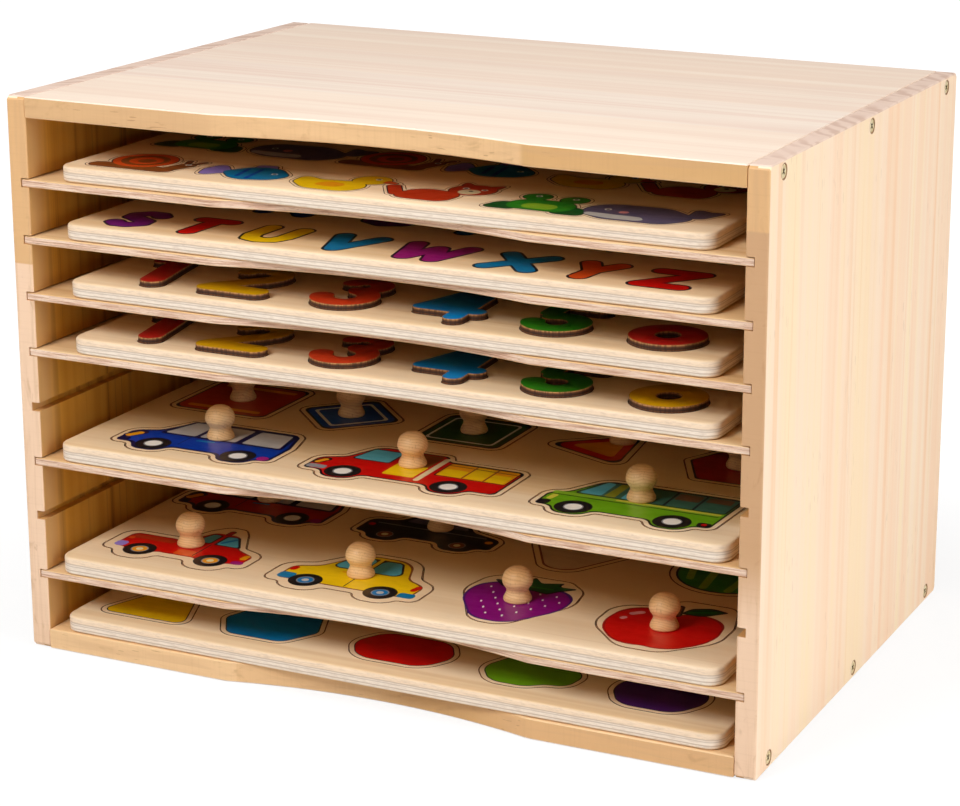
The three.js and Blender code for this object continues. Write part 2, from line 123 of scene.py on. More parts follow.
class Shader:
    def __init__(self, name, roughness=0.5, coat=0.0, shine=0.35):
        self.material = bpy.data.materials.new(name)
        self.material.use_nodes = True
        self.tree = self.material.node_tree
        self.surface = self.tree.nodes['Principled BSDF']
        self.surface.inputs['Roughness'].default_value = roughness
        self.surface.inputs['Coat Weight'].default_value = coat
        self.surface.inputs['Coat Roughness'].default_value = 0.2
        self.surface.inputs['Specular IOR Level'].default_value = shine

    def feed(self, socket, value):
        if isinstance(value, Wire):
            self.tree.links.new(value.socket, socket)
        elif isinstance(value, tuple) and len(value) < len(socket.default_value):
            socket.default_value = (*value, 1)
        else:
            socket.default_value = value

    def node(self, kind, settings=None, inputs=None, output=0):
        made = self.tree.nodes.new('ShaderNode' + kind)
        for key, value in (settings or {}).items():
            if key == 'stops':
                ramp = made.color_ramp
                while len(ramp.elements) < len(value):
                    ramp.elements.new(0.5)
                for element, (place, colour) in zip(ramp.elements, value):
                    element.position = place
                    element.color = (*colour, 1)
            else:
                setattr(made, key, value)
        for key, value in (inputs or {}).items():
            self.feed(made.inputs[key], value)
        return Wire(self, made.outputs[output])

    def axis(self, letter):   # object coordinate in millimetres
        coords = self.node('TexCoord', output=3)
        return self.node('SeparateXYZ', {}, {'Vector': coords}, 'XYZ'.index(letter)) * 1000.0

    def facing(self, letter):   # how far the surface faces along an axis
        normal = self.node('NewGeometry', output=3)
        return self.node('SeparateXYZ', {}, {'Vector': normal}, 'XYZ'.index(letter))

    # sizes in millimetres
    def noise(self, sizes, shift=(0, 0, 0), detail=3.0, roughness=0.5, distortion=0.0):
        coords = self.node('TexCoord', output=3)
        scale = tuple(1000 / size for size in sizes)
        placed = self.node('Mapping', {}, {'Vector': coords, 'Scale': scale, 'Location': shift})
        inputs = {'Vector': placed, 'Scale': 1.0, 'Detail': detail, 'Roughness': roughness,
                  'Distortion': distortion}
        return self.node('TexNoise', {}, inputs)

    def chance(self, number):   # one random value for each whole number
        whole = number.maths('FLOOR', number)
        return self.node('TexWhiteNoise', {'noise_dimensions': '1D'}, {'W': whole})

    def ramp(self, fac, stops):
        return self.node('ValToRGB', {'stops': stops}, {'Fac': fac})

    def mix(self, share, first, second, blend='MIX'):
        settings = {'data_type': 'RGBA', 'blend_type': blend}
        return self.node('Mix', settings, {0: share, 6: first, 7: second}, 2)

    def bump(self, height, strength, distance=0.1):
        inputs = {'Height': height, 'Strength': strength, 'Distance': distance * mm}
        self.feed(self.surface.inputs['Normal'], self.node('Bump', {}, inputs))

    def finish(self, colour, roughness=None):
        self.feed(self.surface.inputs['Base Color'], colour)
        if roughness is not None:
            self.feed(self.surface.inputs['Roughness'], roughness)
        return self.material


def srgb(*levels):   # a colour as read off a picture, 0 to 255
    return tuple(c / 3294.6 if c < 10.3 else ((c / 255 + 0.055) / 1.055) ** 2.4 for c in levels)


def along(grain, across, length):   # noise sizes that are long on the grain's axis
    return tuple(length if axis == grain else across for axis in 'XYZ')


# pine panels, glued up from strips

pine = {
    'yellow': srgb(255, 231, 192),
    'pale': srgb(255, 230, 203),
    'peach': srgb(253, 214, 178),
    'line': srgb(240, 194, 136),
    # dark resin ticks, and the painted shade round the screw holes
    'tickAndShade': srgb(150, 98, 52),
    'pinkish': srgb(240, 214, 196),
    'top': srgb(248, 230, 213),
    'topLine': srgb(230, 202, 182),
    'edgePale': srgb(240, 204, 172),
    'edgeLight': srgb(236, 196, 147),
    'edgePeach': srgb(230, 188, 138),
    'edgeAmber': srgb(222, 176, 124),
    'edgeHoney': srgb(214, 168, 112),
    'edgeTan': srgb(204, 160, 118),
    'edgeTop': srgb(216, 174, 126),
    'blotch': srgb(176, 128, 82),
    'growthRing': srgb(210, 176, 156),
    'endGrain': srgb(234, 206, 188),
    # inner faces of the sides: a darker amber copy of the pine, painted shade
    'wallPaintedShade': srgb(198, 138, 44),
    'wallPaintedShadePale': srgb(212, 154, 58),
    'wallPaintedShadeLine': srgb(104, 58, 12),
    # inner faces of the top and the bottom: a darker amber copy of the pine, painted shade
    'floor': srgb(226, 182, 130),
    'floorShadePale': srgb(236, 196, 146),
    'floorShadeLine': srgb(196, 148, 96),
}


def woodGrain(shader, grain, seed, colours, strength=1.0):
    shift = (seed * 7.3, seed * 3.1, seed * 5.7)
    broad = shader.noise(along(grain, 38, 900), shift, 1.0, 0.5, 0.3)
    streak = shader.noise(along(grain, 9, 700), shift, 2.0, 0.55, 0.2)
    fine = shader.noise(along(grain, 2.4, 260), shift, 3.0, 0.6)
    first, second, third, line = colours
    tone = shader.ramp(broad * 0.5 + streak * 0.5, [(0.38, first), (0.5, second), (0.62, third)])
    lines = (streak.step(0.56, 0.68) * 0.3 + fine.step(0.56, 0.74) * 0.35) * strength
    return shader.mix(lines, tone, line), fine


def ticks(shader, colour, grain, seed, share):   # short dark resin marks along the grain
    mark = shader.noise(along(grain, 0.8, 9), (seed, seed * 2.0, seed * 3.0), 0.0).step(0.74, 0.77)
    spots = shader.noise((42, 30, 42), (seed * 5.0, seed, seed), 1.0).step(0.52, 0.6)
    return shader.mix(mark * spots * share, colour, pine['tickAndShade'])


def frontEdge(shader, seed, grain, joints):   # front edges, in blocks whose tone changes at the finger joints
    base = pine['edgePale']
    for place, soft, tone in joints:
        base = shader.mix(shader.axis(grain).step(place - soft, place + soft), base, pine[tone])
    cloud = shader.noise(along(grain, 3, 60), (seed, seed, seed), 3.0, 0.6, 0.8).step(0.42, 0.72)
    base = shader.mix(cloud * 0.35, base, pine['edgeTan'])
    teeth = tuple(1.1 if axis == grain else 40 for axis in 'XYZ')
    saw = shader.noise(teeth, (2, seed, 5), 2.0).step(0.5, 0.7)
    base = shader.mix(saw * 0.07, base, pine['blotch'])
    blotch = shader.noise(along(grain, 12, 22), (seed, 4, 2), 3.0, 0.65, 1.5).step(0.58, 0.74)
    return shader.mix(blotch * 0.35, base, pine['blotch'])


holeShade = {
    'radius': (3.2, 3.35),
    'share': 0.8,
}


def shadeHoles(shader, colour):   # the shade in the countersunk holes of a side
    row = (rack['height'] - rack['panel']) / 2
    column = rack['depth'] / 2 - rack['setback']
    up = abs(abs(shader.axis('Z') - rack['height'] / 2) - row)
    back = abs(shader.axis('Y'))
    back = back.maths('MINIMUM', back, abs(back - column))
    near, far = (radius ** 2 for radius in holeShade['radius'])
    outside = (up * up + back * back).step(near, far)
    return shader.mix((1 - outside) * holeShade['share'], colour, pine['tickAndShade'])


sideLook = {
    'strip': 47.0,
    'left': {'seed': 3.0, 'side': -1, 'joints': [(-200, 1, 'edgePale'), (168.2, 0.4, 'edgeAmber')]},
    'right': {'seed': 11.0, 'side': 1,
              'joints': [(-200, 1, 'edgePale'), (76, 16, 'edgeTan'), (213.6, 0.5, 'edgeAmber')]},
}


def sidePine(name, seed, side, joints):
    shader = Shader(name, coat=0.06)
    ahead = shader.axis('Y') * -1.0
    colours = (pine['yellow'], pine['pale'], pine['peach'], pine['line'])
    outer, fine = woodGrain(shader, 'Z', seed, colours, 1.1)
    strip = shader.chance(shader.axis('Y') * (1 / sideLook['strip']) + seed)
    outer = shader.mix(strip * 0.35, outer, pine['peach'])
    rear = shader.noise(along('Z', 12, 900), (seed, 9, 3), 2.0, 0.5).step(0.42, 0.62)
    outer = shader.mix(shader.axis('Y').step(-60, 90) * rear * 0.6, outer, pine['peach'])
    outer = ticks(shader, outer, 'Z', seed, 0.22)
    # inner faces: the darker amber copy of the pine, painted shade
    colours = (pine['wallPaintedShade'], pine['wallPaintedShadePale'], pine['wallPaintedShade'], pine['wallPaintedShadeLine'])
    wallPaintedShade, _ = woodGrain(shader, 'Z', seed + 2.0, colours)
    # near the front edge the painted shade gives way to a lit tan
    wallPaintedShade = shader.mix(ahead.step(99, 111) * 0.8, wallPaintedShade, pine['edgeHoney'])
    inwards = shader.axis('X') * -side + (rack['width'] / 2 - rack['panel'] + rack['groove'])
    colour = shader.mix(inwards.step(-0.3, -0.1), outer, wallPaintedShade)
    front = ahead - rack['depth'] / 2
    colour = shader.mix(front.step(-0.8, -0.3), colour, frontEdge(shader, seed, 'Z', joints))
    sheen = shader.noise((60, 24, 90), (seed, 2, 1), 2.0, 0.5, 1.0)
    slope = shader.axis('Y') + shader.axis('X') * 0.9 * side + sheen * 30.0
    rings = (slope * 0.62).maths('SINE', slope * 0.62) * 0.5 + 0.5
    rings = rings.step(0.1, 1.0) * sheen.step(0.35, 0.6) * 0.8
    ends = shader.mix(rings, pine['endGrain'], pine['growthRing'])
    top = shader.axis('Z') - rack['height']
    colour = shader.mix(top.step(-0.7, -0.4), colour, ends)
    colour = shadeHoles(shader, colour)
    shader.bump(fine, 0.12)
    return shader.finish(colour, shader.noise((25, 25, 25)) * 0.15 + 0.45)


flatLook = {
    'strip': 52.0,
    'top': {'seed': 5.0, 'joints': [(-200, 1, 'edgeTop'), (-60, 40, 'edgePeach'), (66, 1.5, 'edgeHoney')]},
    'bottom': {'seed': 17.0,
               'joints': [(-200, 1, 'edgeLight'), (-64.5, 0.5, 'edgePeach'), (4, 16, 'edgeHoney'),
                          (52, 14, 'edgeAmber')]},
}


def flatPine(name, seed, joints):
    shader = Shader(name, coat=0.06)
    colours = (pine['top'], pine['pinkish'], pine['top'], pine['topLine'])
    face, fine = woodGrain(shader, 'X', seed, colours, 0.9)
    strip = shader.chance(shader.axis('Y') * (1 / flatLook['strip']) + seed)
    face = shader.mix(strip * 0.35, face, pine['pale'])
    # inner faces: the darker amber copy of the pine, painted shade
    colours = (pine['floor'], pine['floorShadePale'], pine['floor'], pine['floorShadeLine'])
    insideShade, _ = woodGrain(shader, 'X', seed + 3.0, colours)
    outwards = abs(shader.axis('Z') - rack['height'] / 2) - (rack['height'] / 2 - rack['panel'])
    face = shader.mix(outwards.step(0.7, 0.4), face, insideShade)
    edge = ticks(shader, frontEdge(shader, seed, 'X', joints), 'X', seed, 0.4)
    colour = shader.mix(abs(shader.facing('Z')).step(0.35, 0.75), edge, face)
    shader.bump(fine, 0.12)
    return shader.finish(colour, shader.noise((25, 25, 25)) * 0.15 + 0.45)


# thin plywood of the shelves and the back

plywood = {
    'face': srgb(226, 188, 138),
    'pale': srgb(234, 200, 154),
    'warm': srgb(218, 174, 120),
    'line': srgb(196, 148, 98),
    'back': srgb(226, 172, 96),
    'backWarm': srgb(216, 158, 84),
    'backLine': srgb(196, 138, 70),
    'edge': srgb(220, 184, 158),
    'edgeDark': srgb(182, 138, 114),
    'edgePale': srgb(236, 210, 188),
    'torn': srgb(150, 108, 82),
}


def thinPly(name, seed, faceAxis='Z', tones=('pale', 'face', 'warm', 'line')):
    shader = Shader(name, shine=0.2)
    colours = [plywood[tone] for tone in tones]
    face, fine = woodGrain(shader, 'X', seed, colours, 0.8)
    layers = shader.noise((16, 16, 0.6), (seed, seed, seed), 3.0, 0.65)
    stops = [(0.34, plywood['edgeDark']), (0.48, plywood['edge']), (0.62, plywood['edgePale'])]
    torn = shader.noise((2.2, 2.2, 0.45), (seed, 1, 8), 3.0, 0.7).step(0.54, 0.7)   # fibres torn by the saw
    edge = shader.mix(torn * 0.4, shader.ramp(layers, stops), plywood['torn'])
    flat = abs(shader.facing(faceAxis)).step(0.35, 0.75)
    colour = shader.mix(flat, edge, face)
    shader.bump(fine, 0.2)
    return shader.finish(colour, 0.55)


def dress(node, material):
    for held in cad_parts[node].material_slots:
        held.material = material


for place in ('left', 'right'):
    dress(place + '_side', sidePine(f'pine {place} side', **sideLook[place]))
for place in ('top', 'bottom'):
    dress(place + '_panel', flatPine('pine ' + place, **flatLook[place]))
dress('back_panel', thinPly('plywood back', 23.0, 'Y', ('back', 'backWarm', 'back', 'backLine')))
for number in range(1, 7):
    dress(f'shelf_{number}', thinPly(f'plywood shelf {number}', 30.0 + 2.7 * number))
print('carcass and shelves dressed')


# flat shapes in millimetres, each grown outwards on demand and raised to closed plates

# polygon of (x, y, radius), counter-clockwise; a corner that turns inwards is rounded too
def patch(*corners):
    def shape(grow=0.0):
        bm = bmesh.new()
        verts, reaches = [], []
        for i, (x, y, radius) in enumerate(corners):
            back = Vector((x, y)) - Vector(corners[i - 1][:2])
            ahead = Vector(corners[(i + 1) % len(corners)][:2]) - Vector((x, y))
            bend = math.atan2(back.cross(ahead), back.dot(ahead))
            before = Vector((back.y, -back.x)).normalized()
            after = Vector((ahead.y, -ahead.x)).normalized()
            shift = (before + after) * grow / (1 + before.dot(after))
            rounding = max(radius + math.copysign(grow, bend), 0.3)
            verts.append(bm.verts.new((x + shift.x, y + shift.y, 0)))
            reaches.append((rounding * math.tan(abs(bend) / 2), abs(bend)))
        bm.faces.new(verts)
        for vert, (reach, bend) in zip(verts, reaches):
            bmesh.ops.bevel(bm, geom=[vert], offset=reach, affect='VERTICES', profile=0.5, material=-1,
                            segments=max(2, round(bend / 0.16)))
        return [bm]
    return shape


def even(*corners):   # a patch that is the same on both sides, from its right half, lowest corner first
    left = [(-x, y, radius) for x, y, radius in corners if x]
    first = left[:1] if corners[0][0] else []
    return patch(*first, *corners, *reversed(left[len(first):]))


def disc(x, y, radius):
    def shape(grow=0.0):
        bm = bmesh.new()
        bmesh.ops.create_circle(bm, cap_ends=True, segments=40 if radius > 1.5 else 14, radius=radius + grow,
                                matrix=Matrix.Translation((x, y, 0)))
        return [bm]
    return shape


def bar(*points, half):   # strokes of one width with round ends
    def shape(grow=0.0):
        made = []
        wide = half + grow
        for start, end in zip(points, points[1:]):
            a, b = Vector(start), Vector(end)
            ahead = (b - a).normalized() * wide
            aside = Vector((-ahead.y, ahead.x))
            ring = [a - ahead - aside, b + ahead - aside, b + ahead + aside, a - ahead + aside]
            made += patch(*((p.x, p.y, 0.998 * wide) for p in ring))()
        return made
    return shape


def block(*points, half):   # a convex shape with round corners
    return lambda grow=0.0: patch(*((x, y, 0) for x, y in points))(half + grow)


def bow(x, y, radius, start, end, half):   # a bar bent round a centre, from one angle to another
    def shape(grow=0.0):
        bm = bmesh.new()
        wide = half + grow
        ray = Vector((math.cos(start), math.sin(start), 0))
        verts = [bm.verts.new(Vector((x, y, 0)) + ray * r) for r in (radius - wide, radius + wide)]
        bmesh.ops.spin(bm, geom=[*verts, bm.edges.new(verts)], cent=(x, y, 0), axis=(0, 0, 1),
                       angle=end - start, steps=round((end - start) / 0.13))
        tips = [(x + radius * math.cos(turn), y + radius * math.sin(turn)) for turn in (start, end)]
        return [bm, *(disc(*tip, wide)()[0] for tip in tips)]
    return shape


def group(*shapes):
    return lambda grow=0.0: [face for shape in shapes for face in shape(grow)]


def moved(shape, x, y, turn=0.0, size=1.0):
    def placed(grow=0.0):
        made = shape(grow / size)
        spun = Matrix.Rotation(math.radians(turn), 4, 'Z')
        place = Matrix.Translation((x, y, 0)) @ spun @ Matrix.Scale(size, 4)
        for bm in made:
            bmesh.ops.transform(bm, matrix=place, verts=bm.verts)
        return made
    return placed


def raised(bm, low, high):
    bmesh.ops.translate(bm, verts=bm.verts, vec=(0, 0, low))
    made = bmesh.ops.extrude_face_region(bm, geom=bm.faces[:])
    lifted = [v for v in made['geom'] if isinstance(v, bmesh.types.BMVert)]
    bmesh.ops.translate(bm, verts=lifted, vec=(0, 0, high - low))
    bmesh.ops.remove_doubles(bm, verts=bm.verts, dist=0.0005)
    bmesh.ops.recalc_face_normals(bm, faces=bm.faces)
    return bm


def reachOf(shape, grow=0.0):   # middle in x, and lowest and highest y
    points = []
    for bm in shape(grow):
        points += [v.co.copy() for v in bm.verts]
        bm.free()
    across = [p.x for p in points]
    return (min(across) + max(across)) / 2, min(p.y for p in points), max(p.y for p in points)


# a finished object, gathered from closed shells

crease = 0.6   # sharper edges than this stay crisp, in radians


class Piece:
    def __init__(self, name):
        self.name = name
        self.bm = bmesh.new()
        self.materials = []

    def slot(self, material):
        if material not in self.materials:
            self.materials.append(material)
        return self.materials.index(material)

    def take(self, part, material=None):
        if material is not None:
            index = self.slot(material)
            for face in part.faces:
                face.material_index = index
        carrier = bpy.data.meshes.new('carrier')
        part.to_mesh(carrier)
        part.free()
        self.bm.from_mesh(carrier)
        bpy.data.meshes.remove(carrier)

    def shells(self, shape, low, high, material, grow=0.0, step=0.0):   # step keeps crossing shells apart
        for count, face in enumerate(shape(grow)):
            self.take(raised(face, low - step * count, high + step * count), material)

    def solid(self, other=None, operation='UNION'):   # joins its own shells, or joins or cuts with another's
        holders = []
        for bm in (self.bm, other.bm if other else bmesh.new()):
            mesh = bpy.data.meshes.new('blank')
            bm.to_mesh(mesh)
            for material in self.materials:
                mesh.materials.append(material)
            holders.append(linked('blank', mesh))
        cut = holders[0].modifiers.new('cut', 'BOOLEAN')
        cut.operation = operation
        cut.object = holders[1]
        cut.use_self = True
        ready = holders[0].evaluated_get(bpy.context.evaluated_depsgraph_get())
        made = bpy.data.meshes.new_from_object(ready)
        self.bm.free()
        self.bm = bmesh.new()
        self.bm.from_mesh(made)
        for holder in holders:
            bpy.data.meshes.remove(holder.data)
        bpy.data.meshes.remove(made)

    def done(self, body, nodes=()):
        for face in self.bm.faces:
            face.smooth = True
        for edge in self.bm.edges:
            edge.smooth = len(edge.link_faces) == 2 and edge.calc_face_angle() < crease
        bmesh.ops.scale(self.bm, vec=(mm, mm, mm), verts=self.bm.verts)
        mesh = bpy.data.meshes.new(self.name)
        self.bm.to_mesh(mesh)
        self.bm.free()
        for material in self.materials:
            mesh.materials.append(material)
        made = linked(self.name, mesh)
        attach(made, body)
        if nodes:
            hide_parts(*nodes)
        return made


# finishes of the puzzles

boardLook = {
    'face': srgb(239, 211, 172),
    'facePale': srgb(245, 221, 187),
    'faceWarm': srgb(230, 196, 150),
    'faceLine': srgb(206, 166, 120),
    # the warm painted shade towards a board's rear
    'facePaintedShade': srgb(240, 205, 144),
    'beige': srgb(240, 214, 184),
    'white': srgb(242, 227, 209),
    'grey': srgb(204, 184, 166),
    'greyTan': srgb(198, 174, 152),
}


def birchPly(name, low, thickness, seed):   # face veneer above, and plies that show at the edge
    shader = Shader(name, coat=0.05)
    colours = (boardLook['facePale'], boardLook['face'], boardLook['faceWarm'], boardLook['faceLine'])
    face, fine = woodGrain(shader, 'X', seed, colours, 0.55)
    wave = shader.noise((60, 60, 60), (seed, seed, seed), 1.0)
    ripple = shader.noise((14, 14, 3), (0, seed, 0), 2.0)
    level = (shader.axis('Z') - low) * (1 / thickness) + (wave + ripple - 1.0) * 0.05
    stops = [(0.0, 'grey'), (0.1, 'white'), (0.19, 'white'), (0.24, 'greyTan'), (0.3, 'white'),
             (0.42, 'white'), (0.48, 'grey'), (0.54, 'white'), (0.6, 'greyTan'), (0.66, 'beige'),
             (1.0, 'beige')]
    plies = shader.ramp(level, [(place, boardLook[tone]) for place, tone in stops])
    fibre = shader.noise((3.5, 3.5, 0.5), (seed, 1, 2), 3.0, 0.7)
    plies = shader.mix(fibre.step(0.4, 0.7) * 0.45, plies, boardLook['greyTan'])
    # painted shade: warmer towards the rear, standing for the warm shade deep in the bays
    face = shader.mix(shader.axis('Y').step(-94, -50) * 0.8, face, boardLook['facePaintedShade'])
    colour = shader.mix(abs(shader.facing('Z')).step(0.5, 0.9), plies, face)
    shader.bump(fine, 0.2)
    return shader.finish(colour, shader.noise((20, 20, 20)) * 0.15 + 0.47)


def burntWood(name, low, high):   # laser-cut edge: dark, with plies, and paler right under the top
    shader = Shader(name, roughness=0.7)
    level = (shader.axis('Z') - low) * (1 / (high - low))
    streak = shader.noise((0.7, 0.7, 6), (3, 1, 4), 2.0, 0.6)
    dark, brown, tan = srgb(46, 26, 16), srgb(108, 66, 38), srgb(190, 138, 86)
    stops = [(0.0, dark), (0.4, brown), (0.55, dark), (0.8, brown), (0.9, tan), (1.0, tan)]
    colour = shader.ramp(level, stops)
    colour = shader.mix(streak.step(0.4, 0.6) * 0.6, colour, dark)
    return shader.finish(colour)


def scorchedLine():
    shader = Shader('scorched line', roughness=0.8)
    patchy = shader.noise((6, 6, 6), (1, 1, 1), 2.0)
    return shader.finish(shader.ramp(patchy, [(0.35, srgb(66, 36, 18)), (0.65, srgb(126, 78, 44))]))


def printed(name, colour, deep=0.25):   # glossy ink on wood, with brush tone and the grain showing through
    shader = Shader(name, roughness=0.35, coat=0.15, shine=0.2)
    shade = tuple(c * 0.55 for c in colour)
    cloud = shader.noise((9, 5, 9), (2, 5, 1), 3.0, 0.6).step(0.35, 0.75)
    grain = shader.noise((30, 1.2, 30), (4, 2, 7), 2.0)
    inked = shader.mix(cloud * deep + grain.step(0.5, 0.7) * 0.1, colour, shade)
    shader.bump(grain, 0.08)
    return shader.finish(inked, cloud * 0.1 + 0.3)


inks = {
    'outline': (20, 16, 24),
    'navy': (12, 16, 66),
    'red': (208, 10, 8),
    'darkRed': (166, 18, 16),
    'brick': (190, 54, 22),
    'orange': (226, 84, 26),
    'amber': (240, 160, 20),
    'yellow': (246, 204, 14),
    'blue': (20, 84, 176),
    'cobalt': (0, 56, 162),
    'azure': (0, 118, 182),
    'sky': (12, 124, 176),
    'teal': (92, 182, 198),
    'green': (44, 140, 34),
    'grass': (108, 168, 20),
    'lime': (140, 186, 44),
    'citron': (214, 208, 70),
    'olive': (150, 152, 40),
    'darkTeal': (64, 112, 92),
    'brownish': (112, 76, 48),
    'bare': (226, 196, 150),
    'darkGreen': (18, 84, 34),
    'purple': (116, 20, 122),
    'plum': (138, 8, 122),
    'mustard': (200, 152, 4),
    'leaf': (30, 114, 16),
    'violet': (72, 24, 108),
    'magenta': (160, 26, 120),
    'lilac': (150, 130, 214),
    'pink': (232, 150, 150),
    'brown': (140, 76, 30),
    'grey': (150, 150, 154),
    'slate': (104, 94, 122),
    'glass': (200, 196, 190),
    'cream': (240, 224, 176),
    'white': (246, 242, 232),
    'black': (24, 22, 24),
}
paints = {name: printed('print ' + name, srgb(*levels)) for name, levels in inks.items()}
paints['scorch'] = scorchedLine()


def turnedBeech():
    shader = Shader('turned beech', coat=0.1)
    colours = (srgb(255, 222, 170), srgb(252, 208, 150), srgb(240, 190, 128), srgb(200, 142, 88))
    colour, fine = woodGrain(shader, 'X', 3.0, colours, 0.8)
    flecks = shader.noise((0.5, 0.5, 2.2), (1, 2, 3), 2.0).step(0.6, 0.7)
    colour = shader.mix(flecks * 0.35, colour, srgb(176, 116, 70))
    slope = shader.axis('Z') + shader.axis('Y') * 0.45 + shader.noise((16, 16, 16), (5, 5, 5), 2.0) * 7.0
    rings = (slope * 5.2).maths('SINE', slope * 5.2).step(0.0, 1.0)
    colour = shader.mix(rings * 0.3, colour, srgb(196, 136, 82))
    shader.bump(fine, 0.15)
    return shader.finish(colour, 0.45)


beech = turnedBeech()
print('finishes ready')


# drawings, each from shapes with x from its middle and y from its lowest point

def underside(left, right, base, wheelsAt):
    run = base / math.sqrt(3)
    bulge = [(-5.5 - run, base, 5), (-5.5, 0, 6), (5.5, 0, 6), (5.5 + run, base, 5)]
    return [(left, base, 2.5), *((x + dx, y, r) for x in wheelsAt for dx, y, r in bulge), (right, base, 2.5)]


def wheels(places, hub, centre=None, radius=7.6, low=0.0):
    rings = [('black', 1), ('grey', 0.53), (hub, 0.46)]   # each by its share of the radius
    if centre:
        rings.append((centre, 0.22))
    return [(ink, disc(x, radius + low, radius * share)) for x in places for ink, share in rings]


def pane(left, low, right, high, lean=0.0, leanRight=0.0, radius=1.2):
    return patch((left, low, radius), (right, low, radius), (right - leanRight, high, radius),
                 (left + lean, high, radius))


leaves = [(-18, 44, 0.8), (-12, 38, 2), (-4, 35, 0.8), (1, 38, 2), (9, 36.4, 0.8), (12, 40.4, 2),
          (19, 47, 0.8), (10, 46, 2), (11, 51, 0.8), (2, 47, 2), (-3, 52.4, 0.8), (-5, 46, 2),
          (-14, 49.6, 0.8), (-12, 44.6, 2)]
seeds = [(-15.4 + 7.4 * i + 3.7 * (row % 2), 35 - 5.6 * row) for row in range(6) for i in range(5)]
seeds = [(x, y) for x, y in seeds if abs(x) < 0.55 * y + 2]   # fewer towards the tip

